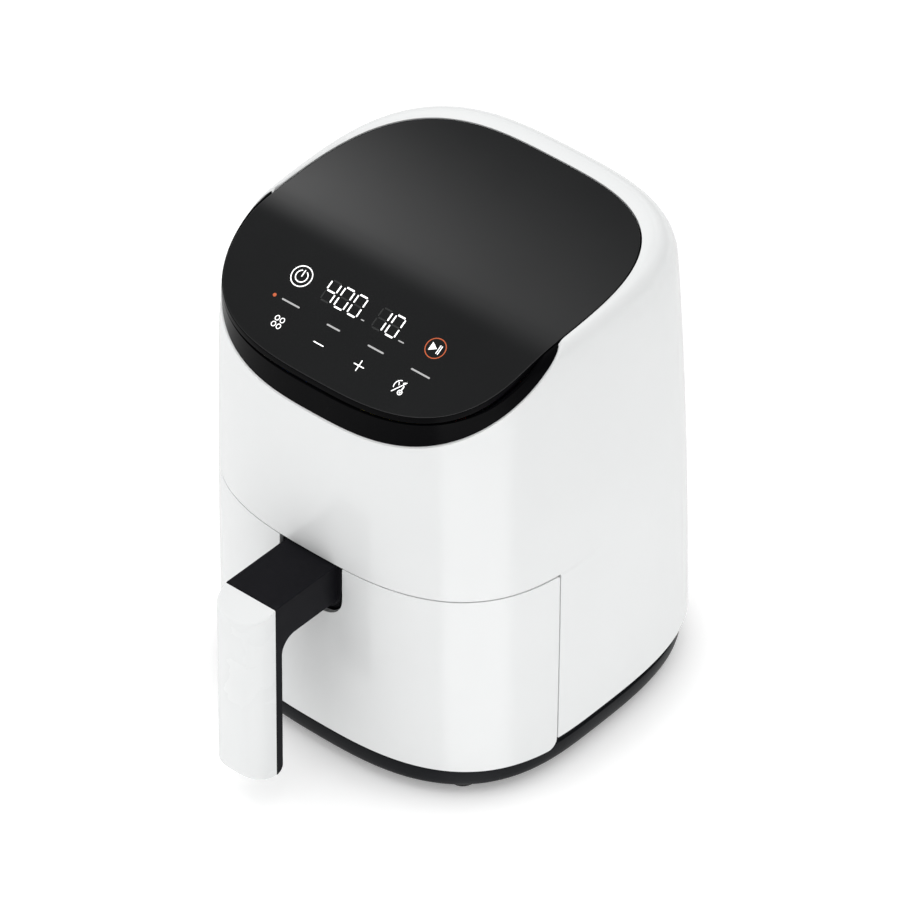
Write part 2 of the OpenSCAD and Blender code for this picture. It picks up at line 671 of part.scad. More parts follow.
// U-shaped opening of the drawer front, which runs forward from y
module front_notch(grow, y) translate([handle_x, y, 0]) rotate([90, 0, 0]) linear_extrude(big) {
    half = notch_w / 2 + grow;
    low = seam_z - notch_h - grow;
    square_at(-half, low + notch_r, half, seam_z + 20);
    square_at(notch_r - half, low, half - notch_r, low + notch_r + 1);
    for (x = [-1, 1]) translate([x * (half - notch_r), low + notch_r]) circle(notch_r);
}
function drawer_ring(z, inset) =
    let (drop = front_lean * pow((seam_z - z) / (seam_z - drawer_z), 3))
    flat_ring([for (a = angles) body_point(a, wall_w(z) - inset, front_depth - drop - inset,
        rear_depth)], z);
module drawer_front() color(white) at_body() difference() {
    intersection() {
        ring_solid(concat(
            [for (z = [drawer_z, 34, 60, 90, seam_z]) drawer_ring(z, 0)],
            [for (z = [seam_z, 90, 60, 34, drawer_z]) drawer_ring(z, wall)]));
        rotate([90, 0, 90]) translate([0, 0, -big / 2]) linear_extrude(big) side_outline();
    }
    front_notch(0, -40);
}

// Black block behind the drawer front: a deck around the basket, a skirt and two cheeks
frame_top = 120.4;
frame_z = 20;
frame_inset = 5.2;
module frame_outline(inset) intersection() {
    polygon(body_outline(seam_z, inset));
    translate([-big / 2, -big]) square([big, big + frame_rear]);
}
module drawer_frame() color(black) at_body() difference() {
    union() {
        translate([0, 0, frame_top - 2.4]) linear_extrude(2.4) frame_outline(frame_inset);
        difference() {
            translate([0, 0, frame_z]) linear_extrude(frame_top - frame_z) frame_outline(frame_inset);
            translate([0, 0, frame_z - 1]) linear_extrude(frame_top - frame_z - 1)
                frame_outline(frame_inset + 2.2);
        }
        intersection() {
            translate([0, 0, frame_z]) linear_extrude(frame_top - frame_z) frame_outline(frame_inset);
            span([-big, frame_rear - 2.2, 0], [big, frame_rear, big]);
        }
        intersection() {
            translate([0, 0, frame_z]) linear_extrude(frame_top - frame_z) frame_outline(frame_inset);
            span([-26, -big, 0], [26, basket_front - 3, big]);
        }
    }
    translate([0, basket_y, frame_z - 5]) linear_extrude(big)
        round_rect(basket_w + 8, basket_l + 4.6, basket_r + 3);
    span([-basket_w / 2 - 4, -40, 0], [basket_w / 2 + 4, big, big]);
    front_notch(gap, -68);
    for (x = [-1, 1], z = [40, 75]) translate([x * 18, -100, z]) along_y(1.6, 40);
    at_front_screws() translate([0, -10, 0]) along_y(1.6, 20);
}
module at_front_screws() for (x = [-1, 1], z = [30, 104]) translate([x * 40, -78.9, z]) children();
module front_screws() color(steel) at_body() at_front_screws() {
    along_y(3, 1.4);
    translate([0, -4, 0]) along_y(1.4, 4.5);
}

rim_w = 3.4;
module basket() color(grey) at_body() translate([0, basket_y, 0]) difference() {
    union() {
        slab(basket_w, basket_l, basket_r, basket_z, basket_top);
        slab(basket_w + 2 * rim_w, basket_l + rim_w, basket_r + 2, basket_top - 1.2, basket_top);
    }
    slab(basket_w - 2 * basket_wall, basket_l - 2 * basket_wall, basket_r - basket_wall,
        basket_z + 1.2, basket_top + 1);
}
module basket_bracket() color(steel) at_body() difference() {
    union() {
        span([-22, basket_front - 1.7, 34], [22, basket_front - 0.1, 112]);
        span([-22, basket_front - 2.8, 34], [22, basket_front - 1.6, 46]);
    }
    for (x = [-1, 1], z = [40, 75]) translate([x * 18, -100, z]) along_y(1.6, 60);
}
module bracket_screws() color(steel) at_body() for (x = [-1, 1], z = [40, 75])
    translate([x * 18, basket_front - 9, z]) along_y(1.4, 8.6);

// Side view of the arm and the grip, joined by a fillet
module bent_profile() {
    grip_back = grip_y + grip_t;
    arm_low = arm_top - arm_h;
    square_at(grip_y, grip_bottom + grip_t, grip_back, arm_top);
    intersection() {
        translate([grip_y, grip_bottom + grip_t]) circle(grip_t);
        square_at(grip_y, grip_bottom, grip_back, grip_bottom + grip_t + 1);
    }
    square_at(grip_y, arm_low, basket_front - 8, arm_top);
    difference() {
        square_at(grip_back - 1, arm_low - arm_fillet, grip_back + arm_fillet, arm_low + 1);
        translate([grip_back + arm_fillet, arm_low - arm_fillet]) circle(arm_fillet);
    }
}
module along_x(length) rotate([90, 0, 90]) translate([0, 0, -length / 2]) linear_extrude(length)
    children();
module handle_arm() color(black) difference() {
    union() {
        at_handle() along_x(handle_w) bent_profile();
        at_body() intersection() {
            front_notch(-0.4, -70);
            span([-big, -front_depth + 3.4, 0], [big, basket_front - 8, frame_top]);
        }
    }
    at_handle() for (z = grip_screw_z) translate([0, grip_y - 1, z]) {
        along_y(1.7, 20);
        translate([0, 3.4, 0]) along_y(3.4, 20);
    }
}
module cover_outline() polygon([for (a = [180 : 7.5 : 360])
    [handle_w / 2 * bow(cos(a), 2.5), (cover_depth - touch_gap) * bow(sin(a), 2.2)]]);
module handle_cover() color(white) at_handle() difference() {
    intersection() {
        translate([0, grip_y - touch_gap, grip_bottom])
            linear_extrude(arm_top - grip_bottom) cover_outline();
        along_x(2 * handle_w) {
            square_at(cover_y + bottom_round - 1, grip_bottom, grip_y + 1, arm_top);
            square_at(cover_y - 1, grip_bottom + bottom_round, grip_y, arm_top);
            translate([cover_y + bottom_round, grip_bottom + bottom_round]) circle(bottom_round);
        }
    }
    translate([0, grip_y, arm_top - 0.4]) rotate([cover_slope, 0, 0])
        translate([-50, -50, 0]) cube([100, 50, 50]);
    for (z = grip_screw_z) translate([0, grip_y - 8, z]) along_y(1.4, 10);
}
module handle_screws() color(steel) at_handle() for (z = grip_screw_z) translate([0, grip_y - 6, z]) {
    along_y(1.3, 8.6);
    translate([0, 8.5, 0]) along_y(3, 0.9);
}

// ---- Crisper plate ----

crisper_w = basket_w - 12;
crisper_l = basket_l - 12;
module crisper_plate() color(grey) at_body() translate([0, basket_y, 0]) difference() {
    union() {
        slab(crisper_w, crisper_l, basket_r - 5, crisper_z, crisper_z + 2);
        difference() {
            slab(crisper_w, crisper_l, basket_r - 5, crisper_z, crisper_z + 5);
            slab(crisper_w - 3, crisper_l - 3, basket_r - 6.5, crisper_z - 1, crisper_z + 6);
        }
    }
    translate([0, 0, crisper_z - 1]) cylinder(r = 12, h = 6);
    for (ring = [[26, 8], [41, 12], [56, 16]], i = [0 : ring[1] - 1])
        rotate(i * 360 / ring[1]) translate([ring[0], 0, crisper_z - 1]) cylinder(r = 4, h = 6);
    at_bumpers() translate([0, 0, crisper_z - 1]) cylinder(r = 4.1, h = 4);
}
bumper_in = 14;
module at_bumpers() for (x = [-1, 1], y = [-1, 1])
    translate([x * (crisper_w / 2 - bumper_in), y * (crisper_l / 2 - bumper_in), 0]) children();
module crisper_bumpers() color(black) at_body() translate([0, basket_y, 0]) at_bumpers() {
    translate([0, 0, basket_z + 1.2 + gap / 2]) cylinder(r = 6.5, h = crisper_z - basket_z - 1.3 - gap / 2);
    translate([0, 0, crisper_z - 2]) cylinder(r = 4, h = 5);
    translate([0, 0, crisper_z + 2.1]) cylinder(r = 6, h = 2.2);
}

// ---- Rotor ----

module fan_impeller() color(steel) at_fan() {
    difference() {
        union() {
            translate([0, 0, 157]) cylinder(r = 59, h = 1);
            translate([0, 0, 150.5]) cylinder(r = 8, h = 7);
        }
        translate([0, 0, 140]) cylinder(r = shaft_r + 0.02, h = 30);
    }
    for (i = [0 : 13]) rotate(i * 360 / 14) translate([26, 0, 148]) rotate(28) cube([32, 0.9, 9.5]);
}
module rotor_shaft() color(steel) at_fan() translate([0, 0, 145.5]) cylinder(r = shaft_r, h = 66);
module rotor_core() color("slategray") at_fan() difference() {
    translate([0, 0, core_z + 1.6]) cylinder(r = core_r - 0.5, h = 13.6);
    translate([0, 0, core_z - 2]) cylinder(r = shaft_r + 0.02, h = 20);
}
module cooling_fan() color(black) at_fan() {
    difference() {
        translate([0, 0, 173]) cylinder(r = 10, h = 7);
        translate([0, 0, 172]) cylinder(r = shaft_r + 0.02, h = 20);
    }
    for (i = [0 : 8]) rotate(i * 40) translate([9, 0, 176.5]) rotate([30, 0, 0])
        translate([0, -5, -0.7]) cube([32, 10, 1.4]);
}
module fan_nut() color(steel) at_fan() difference() {
    translate([0, 0, 146.5]) cylinder(r = 5.8, h = 3.9, $fn = 6);
    translate([0, 0, 145]) cylinder(r = shaft_r + 0.02, h = 8);
}

module switch_plunger() color(white) at_body()
    translate([switch_x, frame_rear + gap / 2, switch_z]) along_y(plunger_r, 18);

outer_shell();
base_tray();
rubber_feet();
base_screws();
top_panel();
panel_bezel();
panel_carrier();
light_guide();
display_module();
control_board();
touch_springs();
buzzer();
mouth_frame();
cavity_liner();
guide_rails();
chamber_top();
heat_reflector();
reflector_screws();
heater_coil();
heater_clips();
fan_guard();
insulation_pad();
motor_bracket();
motor_core();
motor_winding();
motor_cap();
motor_bushes();
motor_screws();
thermal_cutout();
temperature_probe();
power_board();
power_relay();
power_capacitor();
power_transformer();
terminal_block();
wiring();
exhaust_duct();
exhaust_grille();
cord_gland();
drawer_switch();
drawer_front();
drawer_frame();
front_screws();
basket();
basket_bracket();
bracket_screws();
handle_arm();
handle_cover();
handle_screws();
crisper_plate();
crisper_bumpers();
fan_impeller();
rotor_shaft();
rotor_core();
cooling_fan();
fan_nut();
switch_plunger();
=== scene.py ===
"""Looks of the compact drawer air fryer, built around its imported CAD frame.

Shapes are worked out in millimetres in body coordinates, where y = 0 is the widest line of the
body. place() turns them into the metres of the shared frame."""
import json
import math

import bmesh
import bpy
import numpy as np
from mathutils import Matrix, Vector


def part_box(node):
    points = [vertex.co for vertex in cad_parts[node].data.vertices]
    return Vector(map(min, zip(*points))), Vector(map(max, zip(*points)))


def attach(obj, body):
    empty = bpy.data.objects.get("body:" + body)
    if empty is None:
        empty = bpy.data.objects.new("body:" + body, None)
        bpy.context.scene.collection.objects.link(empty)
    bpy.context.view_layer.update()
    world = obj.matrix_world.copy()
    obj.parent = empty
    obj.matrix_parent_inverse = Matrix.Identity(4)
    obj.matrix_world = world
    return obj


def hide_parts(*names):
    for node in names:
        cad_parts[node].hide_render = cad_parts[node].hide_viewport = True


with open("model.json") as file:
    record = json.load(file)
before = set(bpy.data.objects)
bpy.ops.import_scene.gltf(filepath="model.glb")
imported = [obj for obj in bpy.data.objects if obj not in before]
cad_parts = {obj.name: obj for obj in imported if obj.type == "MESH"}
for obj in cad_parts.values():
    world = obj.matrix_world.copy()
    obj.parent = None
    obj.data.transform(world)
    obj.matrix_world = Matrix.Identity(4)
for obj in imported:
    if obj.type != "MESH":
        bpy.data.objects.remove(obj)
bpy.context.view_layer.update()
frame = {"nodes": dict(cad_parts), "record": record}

MM = 0.001
shell_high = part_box("outer_shell")[1]
HALF_W = shell_high.x / MM
# From the widest line to the foot of the front and of the back
FRONT, REAR = 90.4, 115.5
BODY_Y = shell_high.y / MM - REAR
WALL = 2.6
FULL = 2 * math.pi
SLOTS = {row["node"]: row["material_slot"] for row in frame["record"]["subparts"]}


def place(point):
    x, y, z = point
    return x * MM, (y + BODY_Y) * MM, z * MM


def add_object(name, data):
    thing = bpy.data.objects.new(name, data)
    bpy.context.scene.collection.objects.link(thing)
    return thing


# ---- camera and light ----

CAMERA_ANGLES = (40.317, 39.208, 0.580)  # azimuth, elevation and roll in degrees
CAMERA_LENS, SENSOR = 303.0, 36.0
CAMERA_DISTANCE, AIM_Z = 3.557, 0.12895
CAMERA_RIGHT, CAMERA_UP = 0.00448, -0.00011


def aim(azimuth, elevation, roll):
    """Right, up and back directions of a camera that looks down at the object."""
    a, e, t = (math.radians(v) for v in (azimuth, elevation, roll))
    right = Vector((math.cos(a), math.sin(a), 0))
    up = Vector((-math.sin(a) * math.sin(e), math.cos(a) * math.sin(e), math.cos(e)))
    back = Vector((math.sin(a) * math.cos(e), -math.cos(a) * math.cos(e), math.sin(e)))
    return (right * math.cos(t) + up * math.sin(t), up * math.cos(t) - right * math.sin(t), back)


def add_camera():
    right, up, back = aim(*CAMERA_ANGLES)
    target = Vector((0, BODY_Y * MM, AIM_Z))
    data = bpy.data.cameras.new("camera")
    data.lens = CAMERA_LENS
    data.sensor_width = SENSOR
    data.clip_start, data.clip_end = 0.1, 60
    camera = add_object("camera", data)
    eye = target + CAMERA_DISTANCE * back + CAMERA_RIGHT * right + CAMERA_UP * up
    turn = Matrix((right, up, back)).transposed().to_4x4()
    camera.matrix_world = Matrix.Translation(eye) @ turn
    bpy.context.scene.camera = camera


# Strength of the sky at the horizon, and what it gains straight up
SKY_LOW, SKY_HIGH = 0.38, 2.10
# The sky's factors on the left and on the right, along SKY_AXIS
SKY_LEFT, SKY_RIGHT, SKY_AXIS = 0.98, 0.62, (0.9, 0.45, 0)
HORIZON = (0.02, -0.12)
# The ground, and the headings between which its strip is brighter
GROUND, STRIP_GLOW = 0.90, 1.35
STRIP_START = (math.radians(21), math.radians(29))
STRIP_END = (math.radians(80), math.radians(93))
FLOOR_SIZE, FLOOR_GLOW, GRID_STEPS = 7.0, 0.25, 12
CARD_SIZE, CARD_Z, CARD_BASE, CARD_PEAK = 0.5, 0.80, 0.18, 0.80
CARD_SCALE, CARD_MOVE = (0.95, 1.25, 1, 1), (-0.42, 0.22, 0)
# Where the card's strip light rises and falls along y, and where it turns dim across x
CARD_RISE, CARD_FALL = (0.10, 0.40), (0.40, 0.55)
CARD_ACROSS, CARD_CONTRAST = (-0.51, -0.31), 1.8


class Graph:
    """Short names for the nodes of one shader tree."""

    def __init__(self, tree, coordinates):
        self.tree = tree
        self.source = tree.nodes.new("ShaderNodeTexCoord").outputs[coordinates]
        split = tree.nodes.new("ShaderNodeSeparateXYZ")
        tree.links.new(self.source, split.inputs[0])
        self.x, self.y, self.z = split.outputs

    def put(self, socket, value):
        if isinstance(value, (int, float)):
            socket.default_value = value
        else:
            self.tree.links.new(value, socket)

    def math(self, operation, first, second=0.0):
        node = self.tree.nodes.new("ShaderNodeMath")
        node.operation = operation
        self.put(node.inputs[0], first)
        self.put(node.inputs[1], second)
        return node.outputs[0]

    def step(self, value, start, end, low=0.0, high=1.0, shape="SMOOTHSTEP"):
        """Goes from low to high while the value goes from start to end."""
        node = self.tree.nodes.new("ShaderNodeMapRange")
        node.interpolation_type = shape
        self.put(node.inputs["Value"], value)
        for name, number in (("From Min", start), ("From Max", end), ("To Min", low),
                             ("To Max", high)):
            node.inputs[name].default_value = number
        return node.outputs["Result"]

    def facing(self, direction):
        """Cosine of the angle to a direction."""
        node = self.tree.nodes.new("ShaderNodeVectorMath")
        node.operation = "DOT_PRODUCT"
        node.inputs[1].default_value = Vector(direction).normalized()
        self.tree.links.new(self.source, node.inputs[0])
        return node.outputs["Value"]


def add_world():
    """Bright overhead, a little brighter on the left, and below the horizon a plain light floor
    with one brighter strip, which only the glossy walls reflect."""
    world = bpy.data.worlds.new("studio")
    bpy.context.scene.world = world
    world.use_nodes = True
    g = Graph(world.node_tree, "Generated")
    height = g.math("MAXIMUM", g.z, 0.0)
    sky = g.math("ADD", SKY_LOW, g.math("MULTIPLY", SKY_HIGH, g.math("MULTIPLY", height, height)))
    sky = g.math("MULTIPLY", sky, g.step(g.facing(SKY_AXIS), -1, 1, SKY_LEFT, SKY_RIGHT,
                                         "LINEAR"))
    heading = g.math("ARCTAN2", g.x, g.math("MULTIPLY", g.y, -1.0))
    strip = g.math("MULTIPLY", g.step(heading, *STRIP_START),
                   g.step(heading, *STRIP_END, 1.0, 0.0))
    ground = g.math("ADD", GROUND, g.math("MULTIPLY", strip, STRIP_GLOW))
    below = g.step(g.z, *HORIZON)
    light = g.math("ADD", g.math("MULTIPLY", sky, g.math("SUBTRACT", 1.0, below)),
                   g.math("MULTIPLY", ground, below))
    background = world.node_tree.nodes["Background"]
    world.node_tree.links.new(light, background.inputs["Strength"])
    background.inputs["Color"].default_value = (1.0, 1.0, 1.0, 1)


def add_fill(name, location, target, size, energy):
    """A soft light low beside the object. It lifts the lower walls and isn't reflected."""
    data = bpy.data.lights.new(name, "AREA")
    data.shape = "RECTANGLE"
    data.size, data.size_y = size
    data.energy = energy
    light = add_object(name, data)
    light.location = location
    light.rotation_mode = "QUATERNION"
    light.rotation_quaternion = (Vector(location) - Vector(target)).to_track_quat("Z", "Y")
    light.visible_glossy = False
    light.visible_camera = False


def grid_mesh(name, size):
    mesh = bpy.data.meshes.new(name)
    bm = bmesh.new()
    bmesh.ops.create_grid(bm, x_segments=GRID_STEPS, y_segments=GRID_STEPS, size=size)
    bm.to_mesh(mesh)
    bm.free()
    return mesh


def add_floor():
    mesh = grid_mesh("floor", FLOOR_SIZE)
    floor = add_object("floor", mesh)
    floor.visible_glossy = False
    mesh.materials.append(finish("floor_paper", (0.93, 0.93, 0.93), 0.9, tone=0.004, specular=0.0,
                                 glow=FLOOR_GLOW))


def add_card():
    """A dim card above the object, with one soft strip light, that only reflections see.
    It shades the glossy panel from front to back."""
    mesh = grid_mesh("card", CARD_SIZE)
    mesh.transform(Matrix.Diagonal(CARD_SCALE))
    mesh.transform(Matrix.Translation(CARD_MOVE))
    card = add_object("card", mesh)
    card.location = (0, 0, CARD_Z)
    for flag in ("visible_camera", "visible_diffuse", "visible_shadow", "visible_transmission"):
        setattr(card, flag, False)
    material = bpy.data.materials.new("card_light")
    material.use_nodes = True
    tree = material.node_tree
    tree.nodes.remove(tree.nodes["Principled BSDF"])
    g = Graph(tree, "Object")
    rise = g.step(g.y, *CARD_RISE, shape="LINEAR")
    strip = g.math("MULTIPLY", g.math("MULTIPLY", rise, rise), g.step(g.y, *CARD_FALL, 1.0, 0.0))
    across = g.math("POWER", CARD_CONTRAST, g.step(g.x, *CARD_ACROSS, 1.0, -1.0, "LINEAR"))
    light = g.math("MULTIPLY", CARD_PEAK, g.math("MULTIPLY", strip, across))
    light = g.math("ADD", CARD_BASE, light)
    glow = tree.nodes.new("ShaderNodeEmission")
    tree.links.new(light, glow.inputs["Strength"])
    tree.links.new(glow.outputs["Emission"], tree.nodes["Material Output"].inputs["Surface"])
    mesh.materials.append(material)


# ---- materials ----

NOISE_LOW, NOISE_HIGH = 0.3, 0.7
BUMP_DEPTH, COAT_ROUGH = 0.0001, 0.04


def finish(name, colour, rough, metallic=0.0, specular=0.5, coat=0.0, tone=0.03, tone_scale=18.0,
           smear=0.04, grain=0.05, grain_scale=1400.0, stretch=(1, 1, 1), glow=0.0, cells=False):
    """A procedural material: two tones in soft clouds, uneven roughness and a fine grain."""
    material = bpy.data.materials.new(name)
    material.use_nodes = True
    tree = material.node_tree
    node, link = tree.nodes.new, tree.links.new
    shader = tree.nodes["Principled BSDF"]
    coords = node("ShaderNodeTexCoord")
    mapping = node("ShaderNodeMapping")
    mapping.inputs["Scale"].default_value = stretch
    link(coords.outputs["Object"], mapping.inputs["Vector"])

    def noise(scale, detail):
        texture = node("ShaderNodeTexNoise")
        texture.inputs["Scale"].default_value = scale
        texture.inputs["Detail"].default_value = detail
        link(mapping.outputs["Vector"], texture.inputs["Vector"])
        return texture.outputs["Fac"]

    ramp = node("ShaderNodeValToRGB")
    for element, position, factor in zip(ramp.color_ramp.elements, (NOISE_LOW, NOISE_HIGH),
                                         (1 - tone, 1 + tone)):
        element.position = position
        element.color = (*(min(1.0, c * factor) for c in colour), 1)
    link(noise(tone_scale, 3), ramp.inputs["Fac"])
    link(ramp.outputs["Color"], shader.inputs["Base Color"])
    haze = node("ShaderNodeMapRange")
    for socket, value in (("From Min", NOISE_LOW), ("From Max", NOISE_HIGH),
                          ("To Min", max(0.02, rough - smear)), ("To Max", min(1.0, rough + smear))):
        haze.inputs[socket].default_value = value
    link(noise(tone_scale * 2.3, 4), haze.inputs["Value"])
    link(haze.outputs["Result"], shader.inputs["Roughness"])
    if cells:
        texture = node("ShaderNodeTexVoronoi")
        texture.inputs["Scale"].default_value = grain_scale
        link(mapping.outputs["Vector"], texture.inputs["Vector"])
        height = texture.outputs["Distance"]
    else:
        height = noise(grain_scale, 2)
    bump = node("ShaderNodeBump")
    bump.inputs["Strength"].default_value = grain
    bump.inputs["Distance"].default_value = BUMP_DEPTH
    link(height, bump.inputs["Height"])
    link(bump.outputs["Normal"], shader.inputs["Normal"])
    for socket, value in (("Metallic", metallic), ("Specular IOR Level", specular),
                          ("Coat Weight", coat), ("Coat Roughness", COAT_ROUGH)):
        shader.inputs[socket].default_value = value
    if glow:
        link(ramp.outputs["Color"], shader.inputs["Emission Color"])
        shader.inputs["Emission Strength"].default_value = glow
    return material


PAINTS = {
    "gloss_white": dict(colour=(0.79, 0.80, 0.80), rough=0.16, tone=0.008, grain=0.02),
    "handle_white": dict(colour=(0.79, 0.80, 0.80), rough=0.26, tone=0.008, grain=0.02,
                         specular=0.12),
    "panel_black": dict(colour=(0.0092, 0.0096, 0.0100), rough=0.07, tone=0.10, smear=0.02, grain=0.01),
    "bezel_black": dict(colour=(0.0022, 0.0022, 0.0026), rough=0.22, tone=0.10, grain=0.02,
                        specular=0.025),
    "base_grey": dict(colour=(0.0075, 0.0082, 0.0098), rough=0.42, tone=0.08, grain=0.3, cells=True,
                      specular=0.06),
    "black_plastic": dict(colour=(0.012, 0.012, 0.014), rough=0.45, tone=0.08, grain=0.4, cells=True,
                          specular=0.25),
    "handle_black": dict(colour=(0.0095, 0.0095, 0.0115), rough=0.40, tone=0.08, grain=0.3, cells=True,
                         specular=0.03),
    "inner_plastic": dict(colour=(0.10, 0.10, 0.11), rough=0.55, tone=0.06, grain=0.3),
    "clear_white": dict(colour=(0.80, 0.80, 0.78), rough=0.45, tone=0.03, grain=0.1),
    "display": dict(colour=(0.02, 0.02, 0.02), rough=0.2, tone=0.08, grain=0.05),
    "board_green": dict(colour=(0.02, 0.13, 0.05), rough=0.4, tone=0.12, tone_scale=160, grain=0.3),
    "nonstick": dict(colour=(0.035, 0.035, 0.038), rough=0.34, tone=0.14, tone_scale=60, grain=0.5,
                     grain_scale=2200, coat=0.15),
    "steel": dict(colour=(0.55, 0.55, 0.56), rough=0.32, metallic=1.0, tone=0.05, grain=0.25,
                  stretch=(1, 14, 1), grain_scale=500),
    "screw_steel": dict(colour=(0.62, 0.62, 0.64), rough=0.28, metallic=1.0, tone=0.06, grain=0.2),
    "heater_steel": dict(colour=(0.16, 0.145, 0.13), rough=0.5, metallic=0.8, tone=0.25,
                         tone_scale=90, grain=0.5),
    "core_steel": dict(colour=(0.28, 0.28, 0.29), rough=0.45, metallic=0.9, tone=0.10,
                       stretch=(1, 1, 40), grain=0.5, grain_scale=120),
    "copper": dict(colour=(0.62, 0.30, 0.12), rough=0.35, metallic=0.9, tone=0.15,
                   stretch=(1, 1, 30), grain=0.6, grain_scale=160),
    "bronze": dict(colour=(0.52, 0.37, 0.16), rough=0.45, metallic=0.9, tone=0.1, grain=0.4),
    "aluminium": dict(colour=(0.72, 0.72, 0.73), rough=0.36, metallic=1.0, tone=0.04, grain=0.3),
    "insulation": dict(colour=(0.78, 0.75, 0.62), rough=0.95, tone=0.12, tone_scale=120, grain=1.0,
                       grain_scale=700),
    "rubber": dict(colour=(0.014, 0.014, 0.014), rough=0.75, tone=0.15, grain=0.6, specular=0.3),
    "silicone": dict(colour=(0.022, 0.022, 0.022), rough=0.6, tone=0.12, grain=0.4),
    "relay_blue": dict(colour=(0.03, 0.12, 0.42), rough=0.35, tone=0.06, grain=0.2),
    "core_tape": dict(colour=(0.70, 0.55, 0.10), rough=0.4, tone=0.08, grain=0.3),
    "wire_red": dict(colour=(0.45, 0.03, 0.02), rough=0.4, tone=0.08, grain=0.2),
    "switch_white": dict(colour=(0.75, 0.75, 0.73), rough=0.4, tone=0.04, grain=0.1),
}
paints = {slot: finish(slot, **values) for slot, values in PAINTS.items()}
lit_white = finish("lit_white", (1.0, 1.0, 1.0), 0.5, tone=0.02, glow=0.92)
lit_soft = finish("lit_soft", (0.36, 0.36, 0.36), 0.5, tone=0.03, glow=0.42)
lit_orange = finish("lit_orange", (0.46, 0.085, 0.022), 0.5, tone=0.03, glow=0.45)
unlit_grey = finish("unlit_grey", (0.030, 0.031, 0.031), 0.3, tone=0.05)


# ---- mesh building ----

def add_piece(name, solid, body, nodes=(), slot=None, material=None, bevel=0.0, segments=3,
              angle=32.0):
    """A closed mesh, from points in body millimetres and faces, that rides on a CAD body."""
    points, faces = solid
    mesh = bpy.data.meshes.new(name)
    mesh.from_pydata([place(p) for p in points], [], faces)
    bm = bmesh.new()
    bm.from_mesh(mesh)
    bmesh.ops.remove_doubles(bm, verts=bm.verts, dist=2e-6)
    bmesh.ops.dissolve_degenerate(bm, edges=bm.edges, dist=1e-7)
    bmesh.ops.delete(bm, geom=[v for v in bm.verts if not v.link_faces], context="VERTS")
    bmesh.ops.recalc_face_normals(bm, faces=bm.faces)
    bm.to_mesh(mesh)
    bm.free()
    mesh.shade_smooth()
    piece = add_object(name, mesh)
    slot = slot or (SLOTS[nodes[0]] if nodes else None)
    mesh.materials.append(material or paints[slot])
    if bevel:
        edge = piece.modifiers.new("edge", "BEVEL")
        edge.width = bevel * MM
        edge.segments = segments
        edge.limit_method = "ANGLE"
        edge.angle_limit = math.radians(angle)
        edge.miter_outer = "MITER_ARC"
    weight = piece.modifiers.new("weight", "WEIGHTED_NORMAL")
    weight.keep_sharp = False
    weight.weight = 60
    if nodes:
        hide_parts(*nodes)
    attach(piece, body)
    return piece


def two_skins(outer, inner, cells, around):
    """Points and faces of a solid between two grids of points, with walls where cells end.
    A cell is 1 where it is there, 0 where it isn't and 2 where something else fills it."""
    rows, cols = outer.shape[:2]
    points = [tuple(p) for p in outer.reshape(-1, 3)] + [tuple(p) for p in inner.reshape(-1, 3)]
    lift = rows * cols
    faces = []

    def cell(r, c):
        if around:
            c %= cols
        if not 0 <= r < rows - 1 or not 0 <= c < (cols if around else cols - 1):
            return 0
        return cells[r, c]

    for r in range(rows - 1):
        for c in range(cols if around else cols - 1):
            if cells[r, c] != 1:
                continue
            d = (c + 1) % cols
            quad = (r * cols + c, r * cols + d, (r + 1) * cols + d, (r + 1) * cols + c)
            faces.append(quad)
            faces.append(tuple(lift + i for i in reversed(quad)))
            sides = ((r - 1, c, 0, 1), (r, c + 1, 1, 2), (r + 1, c, 2, 3), (r, c - 1, 3, 0))
            for nr, nc, i, j in sides:
                if cell(nr, nc) == 0:
                    faces.append((quad[j], quad[i], quad[i] + lift, quad[j] + lift))
    return points, faces


def bridge(one, two):
    """Faces between two closed loops of point numbers."""
    n = len(one)
    return [(one[i], one[(i + 1) % n], two[(i + 1) % n], two[i]) for i in range(n)]


def loft(loops, cap_first=True, cap_last=True):
    """Points and faces of a solid through loops of points with the same count."""
    n = len(loops[0])
    points = [tuple(p) for loop in loops for p in loop]
    starts = [range(k * n, (k + 1) * n) for k in range(len(loops))]
    faces = [face for one, two in zip(starts, starts[1:]) for face in bridge(one, two)]
    if cap_first:
        faces.append(tuple(reversed(range(n))))
    if cap_last:
        faces.append(tuple((len(loops) - 1) * n + i for i in range(n)))
    return points, faces


def join(*solids):
    """Several sets of points and faces as one."""
    points, faces = [], []
    for some_points, some_faces in solids:
        start = len(points)
        points += list(some_points)
        faces += [tuple(start + i for i in face) for face in some_faces]
    return points, faces


def prism(outline, axis, low, high):
    """A flat outline extruded along x or y. The outline's points are the other two coordinates."""
    def at(p, s):
        return (s, p[0], p[1]) if axis == "x" else (p[0], s, p[1])
    return loft([[at(p, low) for p in outline], [at(p, high) for p in outline]])


def arc(cx, cy, r, start, end, steps):
    return [(cx + r * math.cos(math.radians(a)), cy + r * math.sin(math.radians(a)))
            for a in np.linspace(start, end, steps + 1)]


def round_loop(w, l, r, z, cy=0.0, steps=10):
    """Loop of points around a rectangle with round corners."""
    loop = []
    for sx, sy, start in ((1, 1, 0), (-1, 1, 90), (-1, -1, 180), (1, -1, 270)):
        loop += [(x, y + cy, z) for x, y in
                 arc(sx * (w / 2 - r), sy * (l / 2 - r), r, start, start + 90, steps)]
    return loop


def even_spacing(fine, x, y, count):
    """Parameters at even steps along the curve that has the points x, y at the parameters fine."""
    run = np.concatenate([[0], np.cumsum(np.hypot(np.diff(x), np.diff(y)))])
    return np.interp(np.linspace(0, run[-1], count + 1), run, fine)


# ---- the body's surface ----

SHELL_Z, WALL_H = 22.9, 193.7
